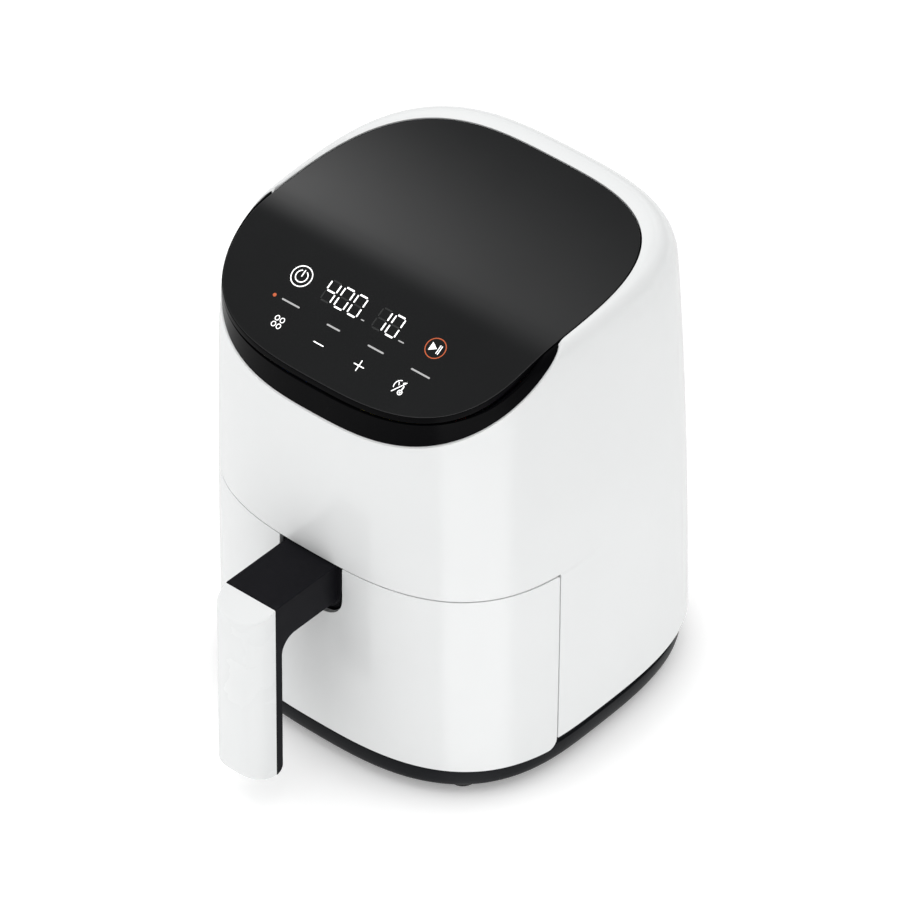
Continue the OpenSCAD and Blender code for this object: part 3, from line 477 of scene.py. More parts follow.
# How far the side and the back lean in over WALL_H
SIDE_LEAN, REAR_LEAN, REAR_CURVE = 2.5, 10.4, 3.9
SEAM_TOP = 122.95
MID_Z, KNEE_Z = 195.0, 214.0
SHOULDER_Z = 238.5
SHOULDER_BASE = 200.0
SHOULDER_H = 18.0
FRONT_BOW, REAR_BOW = 2.8, 3.1
# The panel: where its two slopes would meet, their mean, half their difference and how soft the
# bend between them is, and then its outline
BEND_Y, BEND_Z, BEND_SLOPE, BEND_TURN, BEND_SOFT = -34.2, 249.9, 0.253, 0.197, 9.6
PANEL_HALF, PANEL_FRONT, PANEL_REAR, PANEL_Y = 85.6, 69.0, 99.4, -20.5
PANEL_BOWS = (3.0, 3.2)
# The slanted cut of the shell's front
CUT_Z, CUT_SLOPE, CUT_Y = 205.6, 0.632, -89.5
# Values of s at which the top of the wall is tabled, and points in a table of the outline
SAMPLES = np.linspace(0, 2, 241)
FINE = 400


def oval(a, w, front, rear, front_bow=FRONT_BOW, rear_bow=REAR_BOW):
    c, s = np.cos(a), np.sin(a)
    power = 2 / np.where(s < 0, front_bow, rear_bow)
    depth = np.where(s < 0, front, rear)
    return (w * np.sign(c) * np.abs(c) ** power, depth * np.sign(s) * np.abs(s) ** power)


def wall_size(z, inset):
    """Half width, front and rear depth of the wall at a height."""
    t = (z - SHELL_Z) / WALL_H
    return (HALF_W - SIDE_LEAN * t ** 3 - inset, FRONT - inset + 0 * t,
            REAR - REAR_LEAN * t - REAR_CURVE * t * t - inset)


def panel_z(y):
    past = y - BEND_Y
    return BEND_Z + BEND_SLOPE * past - BEND_TURN * np.sqrt(past ** 2 + BEND_SOFT ** 2)


def panel_outline(a, grow):
    x, y = oval(a, PANEL_HALF + grow, PANEL_FRONT + grow, PANEL_REAR + grow, *PANEL_BOWS)
    return x, y + PANEL_Y


def rim_grow(a):
    """How far the shell's rim stands outside the panel: 1 mm at the front, more at the back."""
    return 1 + 5.2 * np.maximum(0, np.sin(a)) ** 1.5


def front_cut(y):
    return CUT_Z + CUT_SLOPE * (y - CUT_Y)


class Columns:
    """Columns around the body at angles that keep chosen edges straight at every height."""

    def __init__(self, marks, counts):
        self.marks, self.counts = marks, counts
        base = self.breaks(np.array(HALF_W), np.array(FRONT))
        self.part, self.share = [], []
        for k, count in enumerate(counts):
            fine = np.linspace(base[k], base[k + 1], FINE)
            at = even_spacing(fine, *oval(fine, HALF_W, FRONT, REAR), count)[:-1]
            self.part += [k] * count
            self.share += list((at - base[k]) / (base[k + 1] - base[k]))
        self.part, self.share = np.array(self.part), np.array(self.share)

    def breaks(self, w, front):
        return [mark(w, front) + 0 * w for mark in self.marks]

    def angles(self, w, front):
        table = np.array([b + np.zeros(len(self.part)) for b in self.breaks(w, front)])
        index = np.arange(len(self.part))
        low, high = table[self.part, index], table[self.part + 1, index]
        return low + self.share * (high - low)


def side_mark(y):
    """Angle, below the widest line, at which the front half of the wall is at y."""
    return lambda w, front: -np.arcsin((-y / front) ** (FRONT_BOW / 2))


def back_mark(x):
    """Angle at which the back of the wall is at x."""
    return lambda w, front: np.arccos((x / w) ** (REAR_BOW / 2))


def front_angle(x, w):
    """Angle at which the front of the wall is at x."""
    return -np.arccos(np.sign(x) * (np.abs(x) / w) ** (FRONT_BOW / 2))


def mirrored_mark(mark):
    return lambda w, front: math.pi - mark(w, front)


def fixed_mark(degrees):
    return lambda w, front: math.radians(degrees)


LEDGE = 0.3


def ledge(y, z):
    """How far the upper part of the wall stands back above the seam, just behind the drawer."""
    along = np.clip((14 - y) / 40, 0, 1) * np.clip((y + 60) / 30, 0, 1)
    up = np.clip((z - 122.1) / 0.7, 0, 1) * np.clip((160 - z) / 30, 0, 1)
    return LEDGE * along * along * (3 - 2 * along) * up


def wall_row(columns, z, inset, step=0.0):
    """A row of the wall at one height."""
    w, front, rear = (v + np.zeros(len(columns.part)) for v in wall_size(z, inset))
    a = columns.angles(w, front)
    x, y = oval(a, w, front, rear)
    if step:
        back = ledge(y, z) * step
        x, y = oval(a, w - back, front - back, rear - back)
    return np.stack([x, y, np.full_like(x, z)], -1)


def top_skin(columns, s, inset, drop, rim_inset):
    """Points of the top of the wall. s is 0 at MID_Z, 1 at the foot of the shoulder, 2 at the rim."""
    w0, front0, _ = wall_size(MID_Z, inset)
    zero = np.zeros(len(columns.part))
    a0 = columns.angles(w0 + zero, front0 + zero)
    _, y0 = panel_outline(a0, rim_grow(a0) - rim_inset)
    top = panel_z(y0) + 0.5 - rim_inset
    foot = top - SHOULDER_H
    z = np.where(s <= 1, MID_Z + s * (foot - MID_Z), foot)
    past, reach = np.maximum(0, z - SHOULDER_BASE), np.maximum(1, foot - SHOULDER_BASE)
    level = z + (SHOULDER_Z - SHOULDER_BASE - reach) * (past / reach) ** 2
    t = np.clip(s - 1, 0, 1) * math.pi / 2
    level = level + 4 * (1 - np.exp(-(SHOULDER_H - drop) * np.sin(t) / 4))
    w, front, rear = wall_size(level, inset)
    a = columns.angles(w, front + zero)
    x, y = oval(a, w, front + zero, rear)
    rx, ry = panel_outline(a, rim_grow(a) - rim_inset)
    z = np.where(s <= 1, z, top - drop - (SHOULDER_H - drop) * (1 - np.sin(t)))
    return np.stack([x * np.cos(t) + rx * (1 - np.cos(t)), y * np.cos(t) + ry * (1 - np.cos(t)),
                     z], -1)


def sampled_skin(columns, inset, drop, rim_inset):
    """The points of top_skin at every one of SAMPLES."""
    return np.array([top_skin(columns, np.full(len(columns.part), s), inset, drop, rim_inset)
                     for s in SAMPLES])


def crossing(values, rising, otherwise):
    """s at which each column first turns from negative to positive, or the other way."""
    found = np.full(values.shape[1], otherwise)
    for c in range(values.shape[1]):
        wanted = values[:, c] > 0 if rising else values[:, c] < 0
        k = int(np.argmax(wanted))
        if wanted.any() and k > 0:
            f = values[k - 1, c] / (values[k - 1, c] - values[k, c])
            found[c] = SAMPLES[k - 1] + f * (SAMPLES[k] - SAMPLES[k - 1])
    return found


def top_rows(columns, inset, drop, rim_inset, low_rows, high_rows):
    """Rows from MID_Z to the rim or to the sloping cut. Returns the rows and which columns are cut."""
    skin = sampled_skin(columns, inset, drop, rim_inset)
    over = skin[:, :, 2] - front_cut(skin[:, :, 1])
    end = crossing(over, True, 2.0)
    is_cut = over.max(0) > 0
    run = np.concatenate([np.zeros((1, skin.shape[1])),
                          np.cumsum(np.linalg.norm(np.diff(skin, axis=0), axis=2), axis=0)])
    last = np.array([np.interp(end[c], SAMPLES, run[:, c]) for c in range(len(end))])
    top = np.array([np.interp(end[c], SAMPLES, skin[:, c, 2]) for c in range(len(end))])
    knee_z = np.minimum(KNEE_Z, MID_Z + 0.4 * (top - MID_Z))
    knee = np.array([np.interp(knee_z[c], skin[:, c, 2], run[:, c]) for c in range(len(end))])
    rows = [share * knee for share in np.linspace(0, 1, low_rows + 1)[1:]]
    rows += [knee + share * (last - knee) for share in np.linspace(0, 1, high_rows + 1)[1:]]
    made = []
    for row in rows:
        s = np.array([np.interp(row[c], run[:, c], SAMPLES) for c in range(len(end))])
        made.append(top_skin(columns, s, inset, drop, rim_inset))
    return made, is_cut


def ring_row(columns, grow, drop):
    """A row around the panel's outline, below its surface by drop."""
    w0, front0, _ = wall_size(SHOULDER_Z, 0)
    zero = np.zeros(len(columns.part))
    a = columns.angles(w0 + zero, front0 + zero)
    x, y = panel_outline(a, grow)
    return np.stack([x, y, panel_z(y) - drop], -1)


# ---- outer shell ----

VENT_X, VENT_LOW, VENT_HIGH = 42.0, 166.0, 214.0
GLAND_Z, GLAND_X, GLAND_HOLE = 44.0, 14.0, 9.3
PATCH_LOW, PATCH_HIGH = 30, 58
SHELL_SIDE = -26.7


def row_at(levels, z):
    return int(np.argmin(abs(levels - z)))


def build_shell():
    right = side_mark(SHELL_SIDE)
    vent, gland = back_mark(VENT_X), back_mark(GLAND_X)
    marks = [fixed_mark(-90), right, vent, gland, mirrored_mark(gland), mirrored_mark(vent),
             mirrored_mark(right), fixed_mark(270)]
    columns = Columns(marks, (56, 66, 9, 12, 9, 66, 56))
    levels = np.concatenate([[SHELL_Z, 24.2, 26.0, 28.0], np.linspace(PATCH_LOW, PATCH_HIGH, 11),
                             np.linspace(PATCH_HIGH, 119, 21)[1:],
                             [121.0, 122.1, SEAM_TOP, 123.6, 125.5],
                             np.linspace(129, VENT_LOW, 13), np.linspace(VENT_LOW, MID_Z, 11)[1:]])
    outer = [wall_row(columns, z, 0, step=1.0) for z in levels]
    inner = [wall_row(columns, z, WALL) for z in levels]
    low_rows, high_rows = 7, 22
    skin, is_cut = top_rows(columns, 0, 0, 0, low_rows, high_rows)
    back, _ = top_rows(columns, WALL, 3, 1, low_rows, high_rows)
    lip = [ring_row(columns, 0.5, 0), ring_row(columns, 0.5, 3)]
    for share, row in zip((1 / 3, 2 / 3), lip):
        across = skin[-1] + share * (back[-1] - skin[-1])
        row[is_cut] = across[is_cut]
    outer += skin + lip
    inner_top = back[-1]
    inner += back[:-1] + [back[-2] + (back[-1] - back[-2]) * f for f in (0.33, 0.66)] + [inner_top]
    outer, inner = np.array(outer), np.array(inner)
    rows, cols = outer.shape[:2]
    cells = np.ones((rows - 1, cols), int)
    starts = np.concatenate([[0], np.cumsum(columns.counts)])
    front = list(range(starts[0], starts[1])) + list(range(starts[6], starts[7]))
    cells[:row_at(levels, SEAM_TOP), front] = 0
    cells[row_at(levels, VENT_LOW):len(levels) - 1 + low_rows, starts[2]:starts[5]] = 0
    r0, r1 = row_at(levels, PATCH_LOW), row_at(levels, PATCH_HIGH)
    c0, c1 = starts[3], starts[4]
    cells[r0:r1, c0:c1] = 2
    points, faces = two_skins(outer, inner, cells, True)
    # The patch around the cord gland's round hole
    border = ([(r0, c) for c in range(c0, c1)] + [(r, c1) for r in range(r0, r1)]
              + [(r1, c) for c in range(c1, c0, -1)] + [(r, c0) for r in range(r1, r0, -1)])
    hole = []
    for grid, inset, lift in ((outer, 0, 0), (inner, WALL, rows * cols)):
        loops = [[lift + r * cols + c for r, c in border]]
        edge = np.array([grid[r, c] for r, c in border])
        angle = np.arctan2(edge[:, 2] - GLAND_Z, edge[:, 0])
        for share in (0.35, 0.7, 1.0):
            x = edge[:, 0] * (1 - share) + GLAND_HOLE * np.cos(angle) * share
            z = edge[:, 2] * (1 - share) + (GLAND_Z + GLAND_HOLE * np.sin(angle)) * share
            w, _, rear = wall_size(z, inset)
            y = rear * (1 - (np.abs(x) / w) ** REAR_BOW) ** (1 / REAR_BOW)
            loops.append(list(range(len(points), len(points) + len(x))))
            points += [tuple(p) for p in np.stack([x, y, z], -1)]
        for one, two in zip(loops, loops[1:]):
            faces += bridge(one, two)
        hole.append(loops[-1])
    faces += bridge(*hole)
    add_piece("outer_shell_skin", (points, faces), "housing", ["outer_shell"], bevel=0.35)


# ---- drawer front ----

HANDLE_OFF = -1.7
NOTCH_HALF, NOTCH_Z, NOTCH_R = 19.35, 91.4, 11.9
NOTCH_FLAT, NOTCH_BEND = 12, 15  # points along the notch's floor and each of its round corners
DRAWER_Z, DRAWER_TOP, DRAWER_SIDE = 17.5, 122.25, -27.4
DRAWER_LOW_R, DRAWER_TOP_R = 5.5, 1.2
# How far the front tucks in at its foot, and the height over which it does
TUCK, TUCK_TOP, TUCK_H = 2.3, 122.6, 105.1
EVEN_TOP = 80  # below this height the rows are level


def even_shares(low, high, count):
    """Shares from 0 to 1 that give even steps along the front between two angles."""
    fine = np.linspace(low, high, FINE)
    at = even_spacing(fine, *oval(fine, HALF_W, FRONT, REAR), count)
    return (at - low) / (high - low)


def build_drawer_front():
    flat = NOTCH_HALF - NOTCH_R
    bend = NOTCH_R * np.sin(np.linspace(0, math.pi / 2, NOTCH_BEND))
    floor_x = np.linspace(-flat, flat, NOTCH_FLAT)[1:-1]
    notch_x = HANDLE_OFF + np.concatenate([-flat - bend[::-1], floor_x, flat + bend])
    rise = NOTCH_Z + NOTCH_R - np.sqrt(NOTCH_R ** 2 - bend ** 2)
    notch_low = np.concatenate([rise[::-1], np.full(len(floor_x), NOTCH_Z), rise])
    edge = np.arcsin((-DRAWER_SIDE / FRONT) ** (FRONT_BOW / 2))
    left = even_shares(-math.pi + edge, front_angle(notch_x[0], HALF_W), 60)[:-1]
    right = even_shares(front_angle(notch_x[-1], HALF_W), -edge, 58)[1:]
    total = len(left) + len(notch_x) + len(right)
    ends = (len(left), len(left) + len(notch_x))

    def row(z, inset):
        z = z + np.zeros(total)
        drop = TUCK * ((TUCK_TOP - z) / TUCK_H) ** 3
        w, _, _ = wall_size(z, inset)
        front = FRONT - drop - inset
        low_r, top_r = DRAWER_LOW_R, DRAWER_TOP_R
        side = np.full_like(z, -DRAWER_SIDE)
        low = z < DRAWER_Z + low_r
        side[low] += low_r - np.sqrt(np.maximum(0, low_r ** 2 - (DRAWER_Z + low_r - z[low]) ** 2))
        high = z > DRAWER_TOP - top_r
        side[high] += top_r - np.sqrt(np.maximum(0, top_r ** 2 - (z[high] - DRAWER_TOP + top_r) ** 2))
        limit = np.arcsin((side / front) ** (FRONT_BOW / 2))
        a = np.empty(total)
        a[ends[0]:ends[1]] = front_angle(notch_x, w[ends[0]:ends[1]])
        first = front_angle(notch_x[0], w[:ends[0]])
        start = -math.pi + limit[:ends[0]]
        a[:ends[0]] = start + left * (first - start)
        last = front_angle(notch_x[-1], w[ends[1]:])
        a[ends[1]:] = last + right * (-limit[ends[1]:] - last)
        x, y = oval(a, w, front, front)
        return np.stack([x, y, z], -1)

    plain = np.concatenate([[DRAWER_Z, 17.8, 18.5, 19.6, 21.2, 23.0], np.linspace(26, EVEN_TOP, 20)])
    notch_top = np.full(total, NOTCH_Z + NOTCH_R)
    notch_top[ends[0]:ends[1]] = notch_low
    upper = np.concatenate([np.linspace(NOTCH_Z + NOTCH_R, 119.5, 8)[1:],
                            [121.0, 121.7, DRAWER_TOP]])
    grids = []
    for inset in (0, WALL):
        rows = [row(z, inset) for z in plain]
        rows += [row(EVEN_TOP + share * (notch_top - EVEN_TOP), inset)
                 for share in np.linspace(0, 1, 10)[1:]]
        rows += [row(z, inset) for z in upper]
        grids.append(np.array(rows))
    outer, inner = grids
    cells = np.ones((outer.shape[0] - 1, total - 1), int)
    cells[len(plain) + 8:, ends[0]:ends[1] - 1] = 0
    add_piece("drawer_front_skin", two_skins(outer, inner, cells, False), "drawer", ["drawer_front"],
              bevel=0.45)


# ---- top panel and black band ----

PANEL_T, PANEL_EDGE_R, PANEL_STEPS = 3.4, 0.22, 240
SEAL_W = 0.25


def build_panel():
    """The glass plate, and the black seal around its edge."""
    steps = PANEL_STEPS
    fine = np.linspace(-math.pi / 2, 1.5 * math.pi, 6 * steps + 1)
    even = even_spacing(fine, *panel_outline(fine, 0), steps)[:-1]

    def loop(inset, drop):
        px, py = panel_outline(even, -inset)
        return [(u, v, panel_z(v) - drop) for u, v in zip(px, py)]

    radius = PANEL_EDGE_R
    turns = np.linspace(0, math.pi / 2, 4)
    loops = [loop(SEAL_W + inset, drop) for inset, drop in
             ((0.3, PANEL_T), (0.0, PANEL_T - 0.3), (0.0, 2.0), (0.0, 1.0))]
    loops += [loop(SEAL_W + radius * (1 - math.cos(t)), radius * (1 - math.sin(t))) for t in turns]
    loops += [loop(SEAL_W + radius + 0.3, 0), loop(SEAL_W + radius + 1.4, 0)]
    points, faces = loft(loops, False, False)
    # Straight strips across the panel, because its height only changes from front to back
    for base, flip in ((0, True), ((len(loops) - 1) * steps, False)):
        for i in range(steps // 2):
            strip = [base + i, base + i + 1, base + steps - i - 1, base + (steps - i) % steps]
            strip = [v for k, v in enumerate(strip) if v not in strip[:k]]
            faces.append(tuple(reversed(strip)) if flip else tuple(strip))
    add_piece("top_panel_glass", (points, faces), "housing", ["top_panel"])
    # The seal's section, a closed line of insets and depths, which goes a little into the glass
    inside, foot = SEAL_W + 0.02, PANEL_T - 0.1
    section = ((inside, foot), (0.1, foot), (0.0, PANEL_T - 0.3), (0.0, 2.0), (0.0, 0.4),
               (0.06, 0.26), (0.16, 0.2), (inside, 0.2), (inside, 2.0), (inside, foot))
    add_piece("panel_edge_seal", loft([loop(*corner) for corner in section], False, False), "housing",
              slot="bezel_black")


# The groove under the panel's edge: its depth below the panel, where its ends begin and their slope
GROOVE, GROOVE_END, GROOVE_SLOPE = 4.8, -60.0, 0.51
BAND_INSET, BAND_GAP, BAND_ROWS, BAND_COLUMNS = 0.6, 0.38, 9, 220


def build_bezel():
    columns = Columns([fixed_mark(-180), fixed_mark(0)], (BAND_COLUMNS,))
    grids, spans = [], []
    zero = np.zeros(len(columns.part))
    edge_y = panel_outline(columns.angles(HALF_W + zero, FRONT + zero), 1)[1]
    inner_drop = np.interp(edge_y, (-60, -30), (3.0, 0.4))
    for inset, drop, rim_inset in ((BAND_INSET, 0, 0.6), (BAND_INSET + WALL, inner_drop, 0.9)):
        skin = sampled_skin(columns, inset, drop, rim_inset)
        z, y = skin[:, :, 2], skin[:, :, 1]
        over = z - (front_cut(y) + BAND_GAP)
        # A groove under the panel's edge, which closes towards the ends
        groove = np.maximum(panel_z(y) - GROOVE, panel_z(GROOVE_END) - GROOVE
                            + GROOVE_SLOPE * (y - GROOVE_END))
        under = np.minimum(groove, panel_z(y) - 0.2) - z
        grids.append(skin)
        spans.append((over, under))

    low = [crossing(over, True, np.nan) for over, _ in spans]
    high = [crossing(under, False, 2.0) for _, under in spans]
    keep = (low[0] < high[0] - 0.004) & (low[1] < high[1] - 0.004)
    cols = np.where(keep)[0]
    cols = np.arange(cols.min(), cols.max() + 1)
    made = []
    for skin, s0, s1 in zip(grids, low, high):
        grid = []
        for share in np.linspace(0, 1, BAND_ROWS):
            s = s0 + share * (s1 - s0)
            grid.append([[np.interp(s[c], SAMPLES, skin[:, c, k]) for k in range(3)] for c in cols])
        made.append(np.array(grid))
    cells = np.ones((BAND_ROWS - 1, len(cols) - 1), int)
    add_piece("panel_bezel_band", two_skins(*made, cells, False), "housing", ["panel_bezel"],
              bevel=0.45)


# ---- base tray and feet ----

DECK_Z = 16.9
UPSTAND_Y, UPSTAND_RUN = -27.5, 0.8


def level_row(columns, inset, z):
    """The wall's lowest row, drawn in by inset and put at another height."""
    row = wall_row(columns, SHELL_Z, inset)
    row[:, 2] = z
    return row


def build_tray():
    marks = [fixed_mark(-90), fixed_mark(0), fixed_mark(90), fixed_mark(180), fixed_mark(270)]
    columns = Columns(marks, (50, 56, 56, 50))
    profile = ((5.0, 9.0), (5.0, 7.6), (5.25, 6.3), (5.8, 5.2), (6.8, 4.2), (8.2, 3.45), (10.5, 2.95),
               (13.5, 2.6), (16.6, 2.4), (DECK_Z, 2.7), (DECK_Z, 3.3))
    rows = [level_row(columns, inset, z) for z, inset in profile]
    # Behind the drawer the tray stands up inside the shell, and under the drawer it stays flat
    behind = np.clip((rows[-1][:, 1] - UPSTAND_Y) / UPSTAND_RUN, 0, 1)
    rows += [level_row(columns, inset, DECK_Z + (z - DECK_Z) * behind)
             for z, inset in ((17.4, 3.35), (28.5, 3.35), (28.9, 3.7), (28.9, 5.8))]
    rows.append(level_row(columns, 6.2, 7.6))
    add_piece("base_tray_shape", loft(rows), "housing", ["base_tray"])


LATHE_STEPS = 48


def lathe(profile, cx, cy, along="z", start=0.0):
    """Solid of revolution from (radius, height) pairs, about a line along z or y."""
    loops = []
    for r, h in profile:
        loop = []
        for k in range(LATHE_STEPS):
            a = FULL * k / LATHE_STEPS
            u, v = r * math.cos(a), r * math.sin(a)
            loop.append((cx + u, cy + v, start + h) if along == "z" else (cx + u, start + h, cy - v))
        loops.append(loop)
    return loft(loops)


def build_feet():
    profile = ((4.2, 0.35), (4.6, 0.0), (6.0, 0.0), (6.5, 0.2), (6.9, 0.8), (7.0, 1.6), (7.0, 4.0),
               (6.8, 4.7), (5.4, 4.9))
    feet = [lathe(profile, x, y) for x in (-65, 65) for y in (-58, 78)]
    add_piece("rubber_feet_pads", join(*feet), "housing", ["rubber_feet"])


# ---- back of the body ----

GRILLE_HALF, SLOT_HALF, SLOT_PITCH = 41.7, 34.0, 6


def build_grille():
    edge, end = back_mark(GRILLE_HALF), back_mark(SLOT_HALF)
    columns = Columns([edge, end, mirrored_mark(end), mirrored_mark(edge)], (4, 30, 4))
    levels = [VENT_LOW + 0.3]
    slots = []
    for z in np.arange(VENT_LOW + SLOT_PITCH, VENT_HIGH, SLOT_PITCH):
        levels += [z - 1.3, z, z + 1.3, z + 3.0]
        slots.append(len(levels) - 4)
    levels[-1] = VENT_HIGH - 0.3
    total = len(columns.part) + 1

    def row(z, inset):
        w, front, rear = wall_size(np.full(total, float(z)), inset)
        table = np.array([b + np.zeros(total) for b in columns.breaks(w, front)])
        part, share = np.append(columns.part, 2), np.append(columns.share, 1.0)
        index = np.arange(total)
        a = table[part, index] + share * (table[part + 1, index] - table[part, index])
        x, y = oval(a, w, front, rear)
        return np.stack([x, y, np.full(total, float(z))], -1)

    outer = np.array([row(z, 0.5) for z in levels])
    inner = np.array([row(z, 0.5 + WALL) for z in levels])
    cells = np.ones((outer.shape[0] - 1, total - 1), int)
    for k in slots:
        cells[k:k + 2, 4:34] = 0
    add_piece("exhaust_grille_bars", two_skins(outer, inner, cells, False), "housing",
              ["exhaust_grille"], bevel=0.3, segments=2)


def build_gland():
    y = wall_size(np.array(GLAND_Z), 0)[2]
    profile = ((3.6, -4.2), (11.0, -4.2), (11.6, -3.8), (11.6, -2.8), (8.9, -2.75), (8.9, -1.0),
               (8.5, -0.55), (7.6, -0.5), (7.1, -0.9), (6.6, -1.3), (5.6, -1.3), (5.1, -0.9),
               (4.6, -0.6), (4.0, -0.7), (3.6, -1.2))
    points, faces = lathe(profile, 0, GLAND_Z, along="y", start=float(y))
    # The two caps make way for the wall of the hole
    last = (len(profile) - 1) * LATHE_STEPS
    faces = faces[:-2] + bridge(range(last, last + LATHE_STEPS), range(LATHE_STEPS))
    add_piece("cord_gland_ring", (points, faces), "housing", ["cord_gland"])


# ---- handle ----

COVER_DEPTH, COVER_SLOPE, COVER_COLUMNS = 14.25, 20, 44
COVER_BOWS = (2.5, 2.2)
GRIP_Y, GRIP_T, GRIP_LOW = -131.7, 4.5, 20.6
HANDLE_HALF = 15.35
ARM_TOP, ARM_LOW, ARM_END = 122.1, 100.6, -82.0
ARM_FILLET = 8.9
PLUG_TOP = 120.4


def beside(solid):
    """Moves a solid onto the handle's own middle line."""
    points, faces = solid
    return [(x + HANDLE_OFF, y, z) for x, y, z in points], faces


def build_handle_arm():
    back = GRIP_Y + GRIP_T
    outline = [(GRIP_Y, ARM_TOP), (GRIP_Y, GRIP_LOW + GRIP_T)]
    outline += arc(GRIP_Y, GRIP_LOW + GRIP_T, GRIP_T, -90, 0, 12)
    outline += [(back, ARM_LOW - ARM_FILLET)]
    outline += arc(back + ARM_FILLET, ARM_LOW - ARM_FILLET, ARM_FILLET, 180, 90, 20)[1:]
    outline += [(ARM_END, ARM_LOW), (ARM_END, ARM_TOP)]
    add_piece("handle_arm_shape", beside(prism(outline, "x", -HANDLE_HALF, HANDLE_HALF)), "drawer",
              ["handle_arm"], bevel=0.5)

    def plug(grow, low_y, high_y):
        half, low = NOTCH_HALF + grow, NOTCH_Z - grow
        shape = [(half, PLUG_TOP)] + arc(half - NOTCH_R, low + NOTCH_R, NOTCH_R, 0, -90, 16)
        shape += arc(-half + NOTCH_R, low + NOTCH_R, NOTCH_R, -90, -180, 16) + [(-half, PLUG_TOP)]
        return prism(shape, "y", low_y, high_y)

    flange = join(plug(-0.4, -87.0, ARM_END), plug(-1.9, -89.0, -86.5))
    add_piece("handle_flange", beside(flange), "drawer", slot="handle_black", bevel=0.45)


def build_handle_cover():
    slope = math.tan(math.radians(COVER_SLOPE))
    back_y = GRIP_Y - 0.15
    count = COVER_COLUMNS
    round_x, round_y = (2 / bow for bow in COVER_BOWS)
    fine = np.linspace(math.pi, FULL, 900)
    fx = HANDLE_HALF * np.sign(np.cos(fine)) * np.abs(np.cos(fine)) ** round_x
    fy = COVER_DEPTH * np.abs(np.sin(fine)) ** round_y
    columns = []
    for a in even_spacing(fine, fx, fy, count):
        x = HANDLE_HALF * math.copysign(abs(math.cos(a)) ** round_x, math.cos(a))
        y = -COVER_DEPTH * abs(math.sin(a)) ** round_y
        reach = math.hypot(x, y)
        frontness = min(1.0, -y / COVER_DEPTH)
        low_r = 1.0 + 6.0 * frontness ** 2
        top_r = 0.6 + 0.9 * frontness ** 2
        line = [(k, GRIP_LOW) for k in (0.0, 0.3, 0.55)]
        for t in np.linspace(0, math.pi / 2, 9):
            line.append((1 - low_r / reach * (1 - math.sin(t)), GRIP_LOW + low_r * (1 - math.cos(t))))
        top = ARM_TOP - 0.4 + slope * y
        for z in np.linspace(GRIP_LOW + low_r, top - top_r, 26)[1:]:
            line.append((1.0, z))
        for t in np.linspace(0, math.pi / 2, 9)[1:]:
            k = 1 - top_r / reach * (1 - math.cos(t))
            line.append((k, ARM_TOP - 0.4 + slope * y * k - top_r * (1 - math.sin(t))))
        for k in (0.6, 0.3, 0.0):
            line.append((k, ARM_TOP - 0.4 + slope * y * k))
        columns.append([(x * k, back_y + y * k, z) for k, z in line])
    rows = len(columns[0])
    points = [p for column in columns for p in column]
    faces = [(c * rows + r, (c + 1) * rows + r, (c + 1) * rows + r + 1, c * rows + r + 1)
             for c in range(count) for r in range(rows - 1)]
    last = count * rows
    for r in range(rows - 1):
        faces.append((r, r + 1, last + r + 1, last + r))
    add_piece("handle_cover_shape", beside((points, faces)), "drawer", ["handle_cover"], bevel=0.25,
              segments=2, angle=40)


# ---- basket ----

BASKET_W, BASKET_L, BASKET_R, BASKET_Y = 150.0, 156.0, 28.0, 4.0
BASKET_LOW, BASKET_WALL, FLOOR_T = 22.0, 1, 1.2
OUTER_BEND, INNER_BEND = 9.0, 8.0


def build_basket():
    w, l, r, cy = BASKET_W, BASKET_L, BASKET_R, BASKET_Y

    def wall(inset, z):
        return round_loop(w - 2 * inset, l - 2 * inset, r - inset, z, cy)

    def flat(less, corner, z):
        return round_loop(w - less, l - less, corner, z, cy)

    rows = [flat(60, 3, BASKET_LOW), flat(40, 9, BASKET_LOW)]
    for t in np.linspace(0, math.pi / 2, 8):
        rows.append(wall(OUTER_BEND * (1 - math.sin(t)), BASKET_LOW + OUTER_BEND * (1 - math.cos(t))))
    rows += [wall(0, z) for z in (45, 60, 75, 90, 105, 114, 116.2)]
    rim = ((0.6, 116.8), (2.6, 116.8), (3.3, 117.1), (3.4, 117.5), (3.1, 117.9), (2.4, 118.0),
           (0.2, 118.0), (-0.6, 117.7), (-1.0, 117.0))
    for grow, z in rim:
        # The rim is half as wide at the front and the back as at the sides
        end = grow * 0.5 if grow > 0 else grow
        rows.append(round_loop(w + 2 * grow, l + 2 * end, r + grow * 0.6, z, cy))
    rows += [wall(BASKET_WALL, z) for z in (114, 105, 90, 75, 60, 45)]
    floor_z = BASKET_LOW + FLOOR_T
    for t in np.linspace(math.pi / 2, 0, 8):
        rows.append(wall(BASKET_WALL + INNER_BEND * (1 - math.sin(t)),
                         floor_z + INNER_BEND * (1 - math.cos(t))))
    rows += [flat(40, 9, floor_z), flat(60, 3, floor_z)]
    add_piece("basket_pan", loft(rows), "drawer", ["basket"])


# ---- marks on the panel ----

# The share of a step up the panel's slope that goes along y, and how far the marks lean to the left
SURFACE = math.cos(math.atan(0.44))
SHEAR = 0.085
MARK_LOW, MARK_HIGH = 0.004, 0.05
LINE, THIN_LINE, CAPTION = 0.52, 0.38, 0.85


def on_panel(x0, y0, x, s, lift):
    """A mark's point, x across and s up the slope from (x0, y0), as body millimetres."""
    y = y0 + s * SURFACE
    return (x0 + x - SHEAR * s, y, panel_z(y) + lift)


